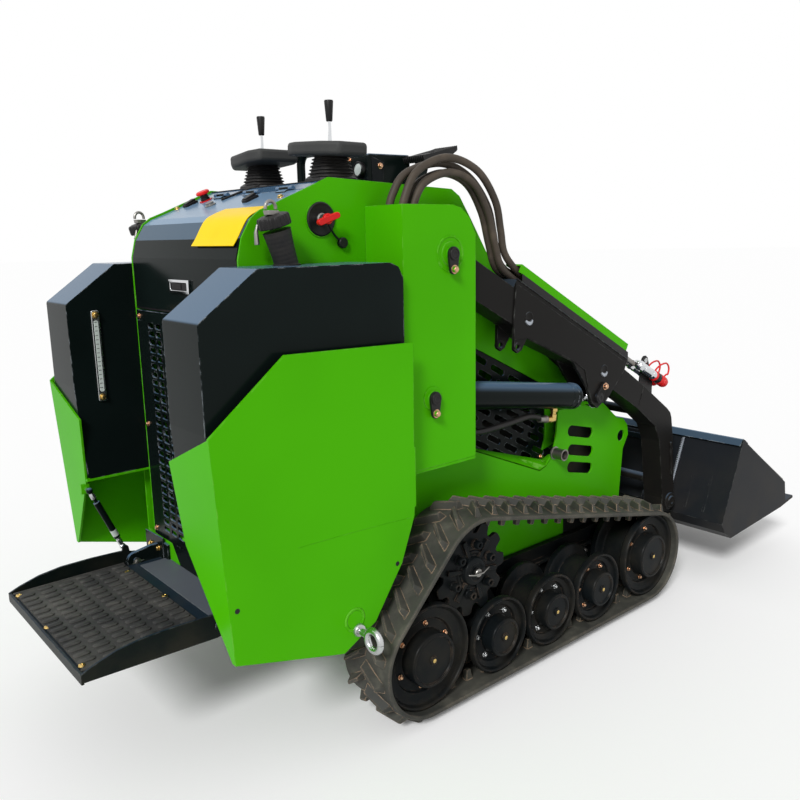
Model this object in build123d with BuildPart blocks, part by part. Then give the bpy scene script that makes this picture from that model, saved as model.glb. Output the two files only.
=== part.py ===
"""Stand-on compact loader on rubber tracks, with lift arms, bucket and folding platform.

Millimetres. +X points forward (to the bucket), +Y to the left, +Z up. The origin lies on the
ground, on the centreline, halfway along the loader. Side outlines hold x and a height above the
belt's underside, which the tread lugs hold clear of the ground.
"""
from build123d import *
import math
import os

os.makedirs("parts", exist_ok=True)

# ---------------------------------------------------------------- driving dimensions
lug_height = 24            # tread lugs, from the belt down to the ground
belt_carcass = 12          # belt between its inner face and the lugs' roots
belt_width = 180
belt_space = 20            # between the chassis plates and the belts' inner edges
lug_pitch = 72
drive_lug_height = 22
drive_lug_width = 50
drive_lug_length = 26

rear_idler = (-547, 153)
front_idler = (440, 150)
sprocket = (-370, 330)
roller_x = (-281, -57, 165)
belt_radius_sprocket = 144
flange_thickness = 24
flange_gap = 90            # between the inner faces of a wheel's two flanges
flange_height = 30         # flange above the hub between the flanges
wheel_cap_reach = 2        # caps end this far inside the belt's outer edge
roller_cap_radius = 46
idler_cap_radius = 63
axle_radius = 24

chassis_half = 340         # centreline to the chassis plates' outer faces
chassis_plate = 6
belt_outer = chassis_half + belt_space + belt_width
body_inset = 44            # the body is narrower than the chassis on each side
body_half = chassis_half - body_inset
body_plate = 5
body_rear = -901.5

arm_space = 6              # between the chassis plates and the arms
arm_width = 74
arm_inner = chassis_half + arm_space
arm_outer = arm_inner + arm_width
tower_plate = 8
tower_space = 9.5          # between the arms and the towers' outer plates
tower_outer = arm_outer + tower_space + tower_plate
tower_rear = -543
tower_front = -298
tower_bottom = 620
tower_top = 1275
tower_corner = 80

boom_pivot = (-387.5, 1156)
lift_base = (-453.5, 800)
lift_eye = (264.5, 694)
bucket_pivot = (715.5, 249)
tilt_base = (354, 720)
tilt_eye = (740, 395)
pin_radius = 17

cheek = 10                 # thickness of the arms' cheek plates
lift_barrel_radius = 40
lift_rod_radius = 20
lift_eye_radius = 34
tilt_barrel_radius = 31
tilt_rod_radius = 17
tilt_eye_radius = 27
tilt_pin = 13

bucket_overhang = 60       # the bucket reaches beyond the belts
bucket_half = belt_outer + bucket_overhang
bucket_plate = 8
attach_half = arm_inner - 11
attach_ear = 16            # thickness of the ears at the bucket pins

tank_inner = body_half + 4
tank_width = 159
tank_outer = tank_inner + tank_width
tank_rear = -1089.5
tank_front = -562
tank_top = 1142
tank_bottom = 556
fender_space = 25          # between a tank and its fender's outer plate
fender_outer = tank_outer + fender_space
fender_plate = 6
fender_rear = -1096
fender_bend = (fender_rear, 816)       # the rear plate leans forward from here to its lower edge
fender_heel = (-1068, 318)
rear_plate_line = ((203, 730), (173, 543), (14, 318))   # inner edge: in from the outer side, height

platform_pivot = (-982, 303)
platform_inset = 69
platform_half = chassis_half - platform_inset
platform_rear = -1318.5
platform_plate = 6
deck_top = 300
mat_thickness = 5

strut_top, strut_foot = (-1080, 526), (-1003, 343)
strut_y = platform_half + 17

running_gap = 0.3          # seat clearance between pieces that touch
moving_gap = 5             # clearance beside a piece that swings
pin_gap = 1.5              # side clearance of an eye between its ears

# ---------------------------------------------------------------- helpers


def side_plane(y):
    """Vertical lengthwise plane; its origin lies at the belt's underside."""
    return Plane(origin=(0, y, lug_height), x_dir=(1, 0, 0), z_dir=(0, -1, 0))


def cross_plane(x):
    """Vertical plane across the loader: local x is y, local y is height."""
    return Plane(origin=(x, 0, lug_height), x_dir=(0, 1, 0), z_dir=(1, 0, 0))


def slab(points, y0, y1, mode=Mode.ADD):
    """Side outline, extruded between two widths."""
    with BuildSketch(side_plane(y0)) as outline:
        with BuildLine():
            Polyline(*points, close=True)
        make_face()
    extrude(outline.sketch, amount=y0 - y1, mode=mode)


def panel(points, x0, x1, mode=Mode.ADD):
    """Outline across the loader, extruded between two stations."""
    with BuildSketch(cross_plane(x0)) as outline:
        with BuildLine():
            Polyline(*points, close=True)
        make_face()
    extrude(outline.sketch, amount=x1 - x0, mode=mode)


def round_bar(centre, radius, y0, y1, mode=Mode.ADD):
    """Cylinder across the loader."""
    with BuildSketch(side_plane(y0)) as outline:
        with Locations(centre):
            Circle(radius)
    extrude(outline.sketch, amount=y0 - y1, mode=mode)


def brick(x, y, z, mode=Mode.ADD):
    """Rectangular block from its three spans; z counts from the belt's underside."""
    with Locations(((x[0] + x[1]) / 2, (y[0] + y[1]) / 2, (z[0] + z[1]) / 2 + lug_height)):
        Box(abs(x[1] - x[0]), abs(y[1] - y[0]), abs(z[1] - z[0]), mode=mode)


def along(start, end, distance):
    """Point on the line from start to end, so far from start."""
    length = math.dist(start, end)
    return tuple(a + (b - a) * distance / length for a, b in zip(start, end))


def rod(start, end, radius, y, mode=Mode.ADD):
    """Round bar in a side plane from one point to another."""
    dx, dz = end[0] - start[0], end[1] - start[1]
    foot = (start[0], y, start[1] + lug_height)
    with BuildSketch(Plane(origin=foot, x_dir=(0, 1, 0), z_dir=(dx, 0, dz))) as circle:
        Circle(radius)
    extrude(circle.sketch, amount=math.hypot(dx, dz), mode=mode)


def hull(discs, y0, y1, mode=Mode.ADD):
    """Plate with the outline of a band round several discs (x, height, radius)."""
    with BuildSketch(side_plane(y0)) as outline:
        for x, z, radius in discs:
            with Locations((x, z)):
                Circle(radius)
        make_hull()
    extrude(outline.sketch, amount=y0 - y1, mode=mode)


def save(part, label):
    part.label = label
    export_step(part, f"parts/{label}.step")


sides = {"left": 1, "right": -1}
RIGHT = sides["right"]

# ---------------------------------------------------------------- tracks
rear_radius = rear_idler[1] - belt_carcass
front_radius = front_idler[1] - belt_carcass
track_wheels = ((*rear_idler, rear_radius), (*sprocket, belt_radius_sprocket),
                (*front_idler, front_radius))
lug_root, lug_tip = 34, 22


def band(grow):
    """Closed band round the track's wheels at a distance from the belt's inner face."""
    with BuildSketch() as outline:
        for x, z, radius in track_wheels:
            with Locations((x, z)):
                Circle(radius + grow)
        make_hull()
    return outline.sketch.faces()[0]


def spots(face, pitch):
    """Evenly spaced places round a band, each with the direction of travel there."""
    rim = face.outer_wire()
    count = round(rim.length / pitch)
    places = []
    for i in range(count):
        point = rim.position_at(i / count)
        heading = rim.tangent_at(i / count)
        places.append((point.X, point.Y, math.degrees(math.atan2(heading.Y, heading.X))))
    return places


def travel_turn(face):
    """1 if the band's wire runs counterclockwise, with the outside on its right."""
    rim = face.outer_wire()
    start = rim.position_at(0)
    ahead = rim.tangent_at(0)
    middle = face.center()
    return 1 if (middle - start).cross(ahead).Z < 0 else -1


def tooth(x, z, angle, root, tip, height):
    """Trapezoid standing on a band at one place; a positive height points right of travel."""
    sink = math.copysign(2, height)
    c, s = math.cos(math.radians(angle)), math.sin(math.radians(angle))
    corners = ((-root / 2, -sink), (-tip / 2, height), (tip / 2, height), (root / 2, -sink))
    return [(x + a * c + b * s, z + a * s - b * c) for a, b in corners]


def track(side):
    """Rubber belt with tread lugs outside and drive lugs inside."""
    inner, outer = band(0), band(belt_carcass)
    way = travel_turn(outer)
    y0, y1 = side * belt_outer, side * (belt_outer - belt_width)
    middle = side * (belt_outer - belt_width / 2)
    with BuildPart() as belt:
        with BuildSketch(side_plane(y0)) as tread:
            add(outer)
            for x, z, angle in spots(outer, lug_pitch):
                with BuildLine():
                    Polyline(*tooth(x, z, angle, lug_root, lug_tip, way * lug_height), close=True)
                make_face()
            add(inner, mode=Mode.SUBTRACT)
        extrude(amount=y0 - y1)
        half = drive_lug_width / 2
        with BuildSketch(side_plane(middle + half)) as drive:
            for x, z, angle in spots(inner, lug_pitch):
                corners = tooth(x, z, angle, drive_lug_length, drive_lug_length * 0.7,
                                -way * drive_lug_height)
                with BuildLine():
                    Polyline(*corners, close=True)
                make_face()
        extrude(amount=drive_lug_width)
    return belt.part


def wheel(centre, radius, cap_radius, side):
    """Track roller: two flanges, a hub between them and a round cap outside."""
    middle = belt_outer - belt_width / 2
    inner0 = side * (middle - flange_gap / 2 - flange_thickness)
    inner1 = side * (middle - flange_gap / 2)
    outer0 = side * (middle + flange_gap / 2)
    outer1 = side * (middle + flange_gap / 2 + flange_thickness)
    cap_end = side * (belt_outer - wheel_cap_reach)
    dish = 12
    rim = 16
    flange = radius - running_gap
    round_bar(centre, flange, inner0, inner1)
    round_bar(centre, radius - flange_height, inner1, outer0)
    round_bar(centre, flange, outer0, outer1)
    round_bar(centre, flange - rim, outer1 - side * dish, outer1, Mode.SUBTRACT)
    round_bar(centre, cap_radius, outer1 - side * dish, cap_end)
    bolt_circle = cap_radius + 12
    for i in range(6):
        angle = math.radians(30 + 60 * i)
        spot = (centre[0] + bolt_circle * math.cos(angle), centre[1] + bolt_circle * math.sin(angle))
        round_bar(spot, 6, outer1 - side * dish, outer1 - side * (dish - 7))


roller_radius = 108
roller_height = belt_carcass + roller_radius
frame_space = 4
frame_plate = 20
frame_inner = chassis_half + frame_space
frame_outer = frame_inner + frame_plate
frame_mounts = (-500, 0, 400)
frame_outline = ((-640, 70), (-640, 190), (-575, 225), (-300, 205), (430, 215), (515, 190),
                 (515, 110), (480, 70))


def track_frame(side):
    """Beam inside the belt, with the axles of the idlers and rollers."""
    with BuildPart() as frame:
        slab(frame_outline, side * frame_inner, side * frame_outer)
        wheel_inner = belt_outer - belt_width / 2 - flange_gap / 2 - flange_thickness
        for x, z in (rear_idler, front_idler, *((x, roller_height) for x in roller_x)):
            round_bar((x, z), axle_radius * 1.6, side * frame_outer,
                      side * (wheel_inner - running_gap))
        for x in frame_mounts:
            brick((x - 40, x + 40), (side * chassis_half, side * frame_inner), (90, 180))
    return frame.part


def rollers(side):
    """Both idlers and the three rollers of one track."""
    with BuildPart() as set_of_wheels:
        wheel(rear_idler, rear_radius, idler_cap_radius, side)
        wheel(front_idler, front_radius, idler_cap_radius, side)
        for x in roller_x:
            wheel((x, roller_height), roller_radius, roller_cap_radius, side)
    return set_of_wheels.part


def drive(side):
    """Drive motor and the two toothed plates of the sprocket."""
    middle = belt_outer - belt_width / 2
    tip_radius, root_radius, teeth = 128, 104, 11
    plate = 12
    with BuildPart() as sprocket_set:
        inner = side * (middle - drive_lug_width / 2 - 5)
        outer = side * (middle + drive_lug_width / 2 + 5)
        for start in (inner - side * plate, outer):
            with BuildSketch(side_plane(start)) as ring:
                with Locations(sprocket):
                    Circle(root_radius)
                    with PolarLocations(root_radius, teeth):
                        SlotOverall((tip_radius - root_radius) * 2, 22)
            extrude(ring.sketch, amount=-side * plate)
        round_bar(sprocket, 62, side * (chassis_half + running_gap), outer + side * plate)
        round_bar(sprocket, 42, outer + side * plate, side * (middle + 62))
        for i in range(6):
            angle = math.radians(60 * i)
            spot = (sprocket[0] + 52 * math.cos(angle), sprocket[1] + 52 * math.sin(angle))
            round_bar(spot, 8, outer + side * plate, outer + side * (plate + 14))
    return sprocket_set.part


for name, side in sides.items():
    save(track(side), f"track_{name}")
    save(track_frame(side), f"track_frame_{name}")
    save(rollers(side), f"rollers_{name}")
    save(drive(side), f"sprocket_{name}")

# ---------------------------------------------------------------- chassis
fender_floor = tank_bottom - fender_plate - 2 * running_gap
chassis_outline = ((body_rear, 250), (-860, 215), (-700, 170), (-600, 150), (-500, 120), (440, 120), (500, 160),
                   (520, 293), (534, 462), (563, 510), (556, 545), (530, 572), (492, 581), (403, 649),
                   (175, 655), (165, 560), (150, 515), (120, 487), (89, 477), (-203, 597),
                   (tower_rear, 600), (tower_rear, fender_floor), (body_rear, fender_floor))
nose_slots = ((291.5, 565), (294.5, 501.5), (293, 443.5))
nose_hole = (520, 512)
nose_hole_radius = 20
shelf = 8
floor_low, floor_high = 150, 158      # floor plate between the chassis plates

with BuildPart() as chassis_frame:
    for side in sides.values():
        slab(chassis_outline, side * (chassis_half - chassis_plate), side * chassis_half)
        with BuildSketch(side_plane(side * (chassis_half + 1))) as holes:
            for spot in nose_slots:
                with Locations(Location(spot, -13.5)):
                    SlotOverall(136, 36)
            with Locations(nose_hole):
                Circle(nose_hole_radius)
        extrude(holes.sketch, amount=side * (chassis_plate + 2), mode=Mode.SUBTRACT)
        brick((tower_rear, tower_front), (side * body_half, side * (tower_outer - 1)),
              (tower_bottom - shelf - running_gap, tower_bottom - running_gap))
        brick((tower_rear + 20, tower_front - 20), (side * (chassis_half + 10), side * (chassis_half + 18)),
              (590, tower_bottom - shelf - running_gap))
        brick((tower_rear + 20, tower_front - 20), (side * chassis_half, side * (chassis_half + 18)),
              (590, 600))
    inner = chassis_half - chassis_plate
    brick((-600, 470), (-inner, inner), (floor_low, floor_high))
    brick((470, 478), (-inner, inner), (150, 420))
    with BuildSketch(cross_plane(body_rear)) as rear_frame:
        with BuildLine():
            Polyline((-inner, 250), (inner, 250), (inner, 356), (-inner, 356), close=True)
        make_face()
        with BuildLine():
            Polyline((-110, 266), (110, 266), (137, 300), (185, 360), (-185, 360), (-137, 300), close=True)
        make_face(mode=Mode.SUBTRACT)
    extrude(rear_frame.sketch, amount=6)
save(chassis_frame.part, "chassis_frame")

ear_inner, ear_outer = 250, 262
bracket_face = body_rear - 8
pin_end = ear_inner - 8                # inner end of the platform's hinge pins
with BuildPart() as platform_brackets:
    for side in sides.values():
        brick((bracket_face, body_rear - running_gap), (side * 195, side * 330), (240, 346))
        hull(((*platform_pivot, 25), (body_rear - 30, 312, 25)), side * ear_inner, side * ear_outer)
        brick((body_rear - 30, bracket_face), (side * ear_inner, side * ear_outer), (278, 337))
        round_bar(platform_pivot, 9, side * pin_end, side * (platform_half - platform_plate - 1))
save(platform_brackets.part, "platform_brackets")

engine_blocks = (                      # x span, half width, height span
    ((-600, 150), 250, (floor_high + running_gap, 300)),
    ((-820, 150), 250, (300, 640)),
    ((-700, -250), 230, (640, 1050)))
with BuildPart() as engine_block:
    for x, half, z in engine_blocks:
        brick(x, (-half, half), z)
save(engine_block.part, "engine_block")

body_outline = ((body_rear, 356 + running_gap), (body_rear, 1157), (-889, 1205), (-863, 1247), (-840, 1264),
                (-803, 1278), (-649, 1341), (-245, 1323), (-215, 1305), (-171, 1244), (74, 885),
                (330, 711), (330, 560), (body_rear + 300, 356 + running_gap))
grille_opening = ((-285, 946), (140, 741), (165, 700), (165, 560), (150, 515), (120, 490), (89, 480),
                  (-203, 600), (-285, 634))
hood_line = ((-349.7, 1322), (-245, 1317.5), (-215, 1300), (-171, 1244), (74, 885), (250, 765),
             (320, 662), (469, 424))


def ribbon(points, thickness, y0, y1, mode=Mode.ADD):
    """Bent sheet across the loader: a side line given a thickness downward."""
    lower = [(x, z - thickness) for x, z in reversed(points)]
    slab(list(points) + lower, y0, y1, mode)


with BuildPart() as body_shell:
    for side in sides.values():
        slab(body_outline, side * (body_half - body_plate), side * body_half)
        slab(grille_opening, side * (body_half - body_plate - 1), side * (body_half + 1), Mode.SUBTRACT)
    ribbon(hood_line, body_plate * 1.6, -body_half + 1, body_half - 1)
save(body_shell.part, "body_shell")

lid_half = body_half - body_plate - moving_gap
lid_hinge = (-697, 1320.5)
hinge_radius, hinge_pin = 5, 2.5
knuckles = ((-200, 40), (-40, 40), (120, 40))
seam = 1015
lid_line = ((body_rear, seam + 4), (body_rear, 1157), (-889, 1203), (-863, 1243), (-840, 1258),
            (-803, 1272), (-700, 1314))
with BuildPart() as hood_lid:
    inner_line = [(body_rear + 5, seam + 4), (body_rear + 5, 1156), (-884, 1200), (-860, 1239),
                  (-838, 1253), (-801, 1266), (-700, 1308)]
    slab(list(lid_line) + inner_line[::-1], -lid_half, lid_half)
    for start, length in knuckles:
        slab(((-712, 1310), (-698, 1314), (-698, 1319), (-712, 1312)), start, start + length)
        round_bar(lid_hinge, hinge_radius, start, start + length)
        round_bar(lid_hinge, hinge_pin + running_gap, start - 1, start + length + 1, Mode.SUBTRACT)
save(hood_lid.part, "hood_lid")

console_line = ((-694, 1316), (-649, 1335), (-350, 1322))
with BuildPart() as console:
    half = body_half - body_plate - running_gap
    ribbon(console_line, 5, -half, half)
    for side in sides.values():
        slab((*console_line, (-350, 1285), (-694, 1285)), side * (half - 6), side * half)
    for start, length in knuckles:
        for first in (start - 16, start + length + 0.5):
            round_bar(lid_hinge, hinge_radius, first, first + 15.5)
            slab(((-697, 1318), (-690, 1316.5), (-690, 1322), (-697, 1324)), first, first + 15.5)
        round_bar(lid_hinge, hinge_pin, start - 2, start + length + 2)
save(console.part, "console")

with BuildPart() as rear_grille:
    half = body_half - body_plate - running_gap
    brick((body_rear, body_rear + 5), (-half, half), (356 + running_gap, seam))
    panel(((-106, 269), (106, 269), (133, 301), (177, 357), (-177, 357), (-133, 301)),
          body_rear, body_rear + 5)
save(rear_grille.part, "rear_grille")

grille_depth = 4
grille_gap = running_gap
with BuildPart() as side_grilles:
    for side in sides.values():
        outer = side * (body_half - body_plate - grille_gap)
        slab(((-330, 1010), (150, 775), (200, 700), (200, 520), (120, 460), (-330, 600)),
             outer - side * grille_depth, outer)
save(side_grilles.part, "side_grilles")

# ---------------------------------------------------------------- boom towers
hose_foot = tower_top - 95


def tower(side):
    """Folded tower that carries the boom pivot and the lift cylinder's base pin."""
    outline = ((tower_rear, tower_bottom), (tower_front, tower_bottom), (tower_front, 1203),
               (-320, 1245), (-350, 1268), (-378, tower_top), (tower_rear, tower_top))
    face = side * tower_outer
    with BuildPart() as post:
        slab(outline, face - side * tower_plate, face)
        brick((tower_rear, tower_rear + tower_plate), (side * (body_half + running_gap), face),
              (tower_bottom, tower_top))
        brick((tower_rear, tower_front), (side * (body_half + running_gap), face),
              (tower_bottom, tower_bottom + 8))
        for x, z in (boom_pivot, lift_base):
            round_bar((x, z), 30, face, face + side * 3)
            round_bar((x, z), pin_radius, face + side * 3, face + side * 8)
            hull(((x, z, 17), (x, z - 38, 12)), face + side * 8, face + side * 14)
            round_bar((x, z - 38), 8, face + side * 14, face + side * 22)
            round_bar((x, z), 30, side * (body_half + running_gap), side * (arm_inner - pin_gap))
            round_bar((x, z), pin_radius, side * (arm_inner - pin_gap), face)
        if side == RIGHT:
            brick((tower_rear + tower_plate, -456), (side * (body_half + running_gap), face),
                  (hose_foot - 8, hose_foot - running_gap))
    return post.part


for name, side in sides.items():
    save(tower(side), f"tower_{name}")

# ---------------------------------------------------------------- tanks and fenders
def rear_at(z):
    """Station of the fender's leaning rear plate at a height."""
    (x0, z0), (x1, z1) = fender_bend, fender_heel
    return x0 + (x1 - x0) * (z - z0) / (z1 - z0)


tank_heel = rear_at(tank_bottom) + fender_plate + 0.5
tank_outline = ((tank_heel, tank_bottom), (tank_rear, fender_bend[1]), (tank_rear, 1040), (-950, tank_top),
                (-600, tank_top), (-575, 1132), (tank_front, 1106), (tank_front, tank_bottom))
fender_outline = (fender_bend, (-911, 964), (-555, 955), (-560, 528), (-603, 416),
                  (-690, 290), (-785, 241), (-817, 249), fender_heel)


def tank(side):
    with BuildPart() as box:
        slab(tank_outline, side * tank_inner, side * tank_outer)
        edges = box.edges().filter_by(Axis.Y).filter_by(
            lambda edge: abs(edge.center().Z - lug_height - fender_bend[1]) > 1)
        fillet(edges, 10)
    return box.part


def fender(side):
    """Saddle of sheet round a tank: outer plate, rear plate and the shelf under the tank."""
    outer = side * fender_outer
    with BuildPart() as saddle:
        slab(fender_outline, outer - side * fender_plate, outer)
        (x0, z0), (x1, z1) = fender_bend, fender_heel
        lean = Plane(origin=(x0, 0, z0 + lug_height), x_dir=(0, 1, 0), z_dir=(z0 - z1, 0, x1 - x0))
        with BuildSketch(lean) as rear_plate:
            with BuildLine():
                Polyline(*[(outer - side * inset, (z - z0) * math.dist(fender_bend, fender_heel) / (z0 - z1))
                           for inset, z in (*rear_plate_line, (0, z1), (0, z0))], close=True)
            make_face()
        extrude(rear_plate.sketch, amount=fender_plate)
        brick((rear_at(tank_bottom) + 1, tank_front + 2), (side * (body_half + running_gap), outer),
              (tank_bottom - fender_plate - running_gap, tank_bottom - running_gap))
        brick((tank_front + 2, tank_front + 8), (side * (body_half + running_gap), outer),
              (tank_bottom - fender_plate - running_gap, 700))
        if side == sides["left"]:
            foot = rear_at(strut_top[1])
            ear = strut_y + 26
            brick((foot - 14, foot + 10), (ear, ear + 6), (512, 540))
            brick((foot + 3, foot + 9), (ear, ear + 20), (512, 540))
            round_bar(strut_top, 5, strut_y + 9 + running_gap, ear + 2)
    return saddle.part


for name, side in sides.items():
    save(tank(side), f"tank_{name}")
    save(fender(side), f"fender_{name}")

neck_inset = 52            # from a tank's inner side to its filler neck
with BuildPart() as filler_necks:
    for side in sides.values():
        y = side * (tank_inner + neck_inset)
        brick((-850, -775), (y - 34, y + 34), (tank_top + running_gap, tank_top + 12))
        rod((-811, tank_top + 12), (-836, tank_top + 86), 27, y)
        rod((-834, tank_top + 80), (-843, tank_top + 108), 36, y)
        brick((-862, -838), (y - 12, y + 12), (tank_top + 104, tank_top + 144))
save(filler_necks.part, "filler_necks")

eye_spot, eye_ring, eye_wire = (-742, 287), 22, 7
with BuildPart() as eye_bolts:
    for side in sides.values():
        ring_y = side * (fender_outer + 8 + eye_ring)
        with Locations(Location((eye_spot[0], ring_y, eye_spot[1] + lug_height), (0, 90, 0))):
            Torus(eye_ring, eye_wire)
        round_bar(eye_spot, eye_wire - 1, side * (fender_outer + 1), side * (fender_outer + 8))
        round_bar(eye_spot, 14, side * fender_outer, side * (fender_outer + 3))
save(eye_bolts.part, "eye_bolts")

# ---------------------------------------------------------------- controls
lever_x, lever_offset = -546, 165
with BuildPart() as control_pods:
    for side in sides.values():
        y = side * lever_offset
        brick((-604, -486), (y - 62, y + 62), (1334, 1352))
        with BuildSketch(Plane(origin=(-546, y, 1352 + lug_height))) as base:
            RectangleRounded(104, 96, 16)
        with BuildSketch(Plane(origin=(-546, y, 1404 + lug_height))) as neck:
            RectangleRounded(76, 70, 16)
        loft([base.sketch.face(), neck.sketch.face()])
        with BuildSketch(Plane(origin=(-548, y, 1404 + lug_height))) as pad:
            RectangleRounded(236, 120, 40)
        extrude(pad.sketch, amount=34)
save(control_pods.part, "control_pods")

with BuildPart() as levers:
    for side in sides.values():
        rod((lever_x, 1438 + running_gap), (lever_x, 1489), 5, side * lever_offset)
        with BuildSketch(Plane(origin=(lever_x, side * lever_offset, 1489 + lug_height))) as low:
            Circle(9)
        with BuildSketch(Plane(origin=(lever_x, side * lever_offset, 1540 + lug_height))) as high:
            Circle(12)
        loft([low.sketch.face(), high.sketch.face()])
save(levers.part, "levers")

with BuildPart() as grab_bar:
    bar_x, bar_half, bar_top = -476, 76, 1432
    bar_foot = 1328.2 + lug_height
    with BuildLine() as bar_path:
        FilletPolyline((bar_x, -bar_half, bar_foot), (bar_x, -bar_half, bar_top + lug_height),
                       (bar_x, bar_half, bar_top + lug_height), (bar_x, bar_half, bar_foot), radius=32)
    with BuildSketch(Plane(origin=(bar_x, -bar_half, bar_foot))):
        Circle(12)
    sweep()
save(grab_bar.part, "grab_bar")

with BuildPart() as front_box:
    slab(((-345, 1322.2), (-246, 1318), (-190, 1318), (-190, 1425), (-300, 1432), (-345, 1400)), -185, 185)
    brick((-190, -110), (-150, -60), (1385, 1440))
save(front_box.part, "front_box")

isolator_spot = (-676, 1244)
with BuildPart() as isolator:
    face = RIGHT * (body_half + running_gap)
    round_bar(isolator_spot, 40, face, face + RIGHT * 3)
    round_bar(isolator_spot, 11, face + RIGHT * 3, face + RIGHT * 30)
    hull(((-700, 1236, 7), (-652, 1252, 7)), face + RIGHT * 30, face + RIGHT * 38)
save(isolator.part, "isolator")

# ---------------------------------------------------------------- boom
arm_top = ((-118, 1080), (420, 797))
arm_beam = ((-400, 1205), (-271, 1133), (-132, 1059), *arm_top, (408, 766),
            (520, 698), (672, 598), (695, 579), (704, 560), (716, 502), (728, 417), (742, 294),
            (742, 235), (722, 216), (690, 216), (668, 240), (670, 270), (636, 485), (602, 545),
            (485, 628), (336, 714), (304, 752), (140, 820), (-74, 912), (-134, 957), (-271, 1028),
            (-400, 1095))


def arm(side):
    """Boxed arm with cheek plates that hang below it round the lift cylinder's eye."""
    y0, y1 = side * arm_inner, side * arm_outer
    with BuildPart() as beam:
        slab(arm_beam, y0, y1)
        hull(((*boom_pivot, 55), (-392, 1150, 55)), y0, y1)
        round_bar(boom_pivot, pin_radius + running_gap, y0 - side, y1 + side, Mode.SUBTRACT)
        round_bar(bucket_pivot, pin_radius, y0 - side * (attach_ear + 2 * pin_gap + 4), y0)
        for start in (y0, y1 - side * cheek):
            slab(((140, 820), (304, 752), (336, 714), (298, 680), (264, 661), (236, 680), (214, 730)),
                 start, start + side * cheek)
            slab(((-125, 985), (-74, 912), (-96, 882), (-112, 875), (-126, 886)), start,
                 start + side * cheek)
            round_bar((-112, 892), 8, start - side, start + side * (cheek + 1), Mode.SUBTRACT)
        round_bar(lift_eye, pin_radius, y1, y1 + side * 6)
        hull(((*lift_eye, 16), (290, 728, 11)), y1 + side * 6, y1 + side * 11)
        round_bar((290, 728), 8, y1 + side * 11, y1 + side * 18)
    return beam.part


for name, side in sides.items():
    save(arm(side), f"boom_arm_{name}")

tilt_ear_inner = tilt_eye_radius + 2
with BuildPart() as boom_cross:
    reach = arm_inner - running_gap
    round_bar((330, 790), 38, -reach, reach)
    for y in (-48, 34):
        hull(((*tilt_base, 24), (330, 780, 36)), y, y + 14)
    round_bar(tilt_base, tilt_pin, -40, 40)
    round_bar((672, 330), 16, -reach, reach)
    round_bar((642, 578), 16, -reach, reach)
save(boom_cross.part, "boom_cross")

cover_run = ((-80, 1118.7), (445, 843))
cover_edge, cover_inner, cover_sheet = arm_outer - 15, arm_inner - 1, 4


def on_line(line, x):
    """Height of a straight line at a station."""
    (x0, z0), (x1, z1) = line
    return z0 + (z1 - z0) * (x - x0) / (x1 - x0)


with BuildPart() as hose_covers:
    for side in sides.values():
        (x0, z0), (x1, z1) = cover_run
        edge, inner = side * cover_edge, side * cover_inner
        slab(((x0, z0), (x1, z1), (x1 - 2, z1 - 4), (x0 - 2, z0 - 4)), inner, edge)
        wall = ((x0, z0), (x1, z1), (x1 - 11, z1 - 21), (x0 - 11, z0 - 21))
        slab(wall, edge - side * cover_sheet, edge)
        for x in (-50, 380):
            foot = [(s, on_line(arm_top, s) + running_gap) for s in (x, x + 30)]
            head = [(s, on_line(cover_run, s) - 3) for s in (x + 30, x)]
            slab(foot + head, edge, edge - side * cover_sheet)
save(hose_covers.part, "hose_covers")

coupler_y = (RIGHT * (arm_inner + 16), RIGHT * (arm_inner + 52))
coupler_run = ((505, 775), (640, 704), (690, 678))
coupler_plate = ((560, 672.4), (590, 652.7), (596, 770), (572, 770))
with BuildPart() as couplers:
    for y in coupler_y:
        rod(coupler_run[0], coupler_run[1], 15, y)
        rod(coupler_run[1], coupler_run[2], 19, y)
    slab(coupler_plate, RIGHT * (arm_inner + 26), RIGHT * (arm_inner + 32))
save(couplers.part, "couplers")

# ---------------------------------------------------------------- bucket
bucket_section = ((880, 478), (762, 194), (788, 156), (832, 126), (1218, 150), (1318.5, 166),
                  (1314, 176), (1218, 162), (836, 138), (796, 164), (773, 196), (889, 474))
bucket_side = ((880, 478), (1237, 247), (1256, 160), (832, 126), (788, 156), (762, 194))
bucket_lip = ((884, 470, 8), (905, 456, 8))
with BuildPart() as bucket:
    slab(bucket_section, -bucket_half, bucket_half)
    for side in sides.values():
        slab(bucket_side, side * (bucket_half - bucket_plate), side * bucket_half)
    hull(bucket_lip, -bucket_half, bucket_half)
save(bucket.part, "bucket")

bucket_back = (bucket_section[1], bucket_section[0])
attach_plate = 12


def back_at(z, gap=0.0):
    """Point on the bucket's back at a height, moved back by a gap."""
    (x0, z0), (x1, z1) = bucket_back
    return (x0 + (x1 - x0) * (z - z0) / (z1 - z0) - gap, z)


with BuildPart() as quick_attach:
    slab((back_at(215, running_gap), back_at(450, running_gap), back_at(450, attach_plate),
          back_at(215, attach_plate)), -attach_half, attach_half)
    for side in sides.values():
        inner = side * (arm_inner - attach_ear - pin_gap)
        outer = side * (arm_inner - pin_gap)
        hull(((*bucket_pivot, 34), (762, 250, 14), (798, 330, 14)), inner, outer)
        round_bar(bucket_pivot, pin_radius + running_gap, inner - side, outer + side, Mode.SUBTRACT)
    for y in (-tilt_ear_inner - 12, tilt_ear_inner):
        hull(((*tilt_eye, 22), (832, 395, 10), (812, 350, 10)), y, y + 12)
save(quick_attach.part, "quick_attach")

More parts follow.
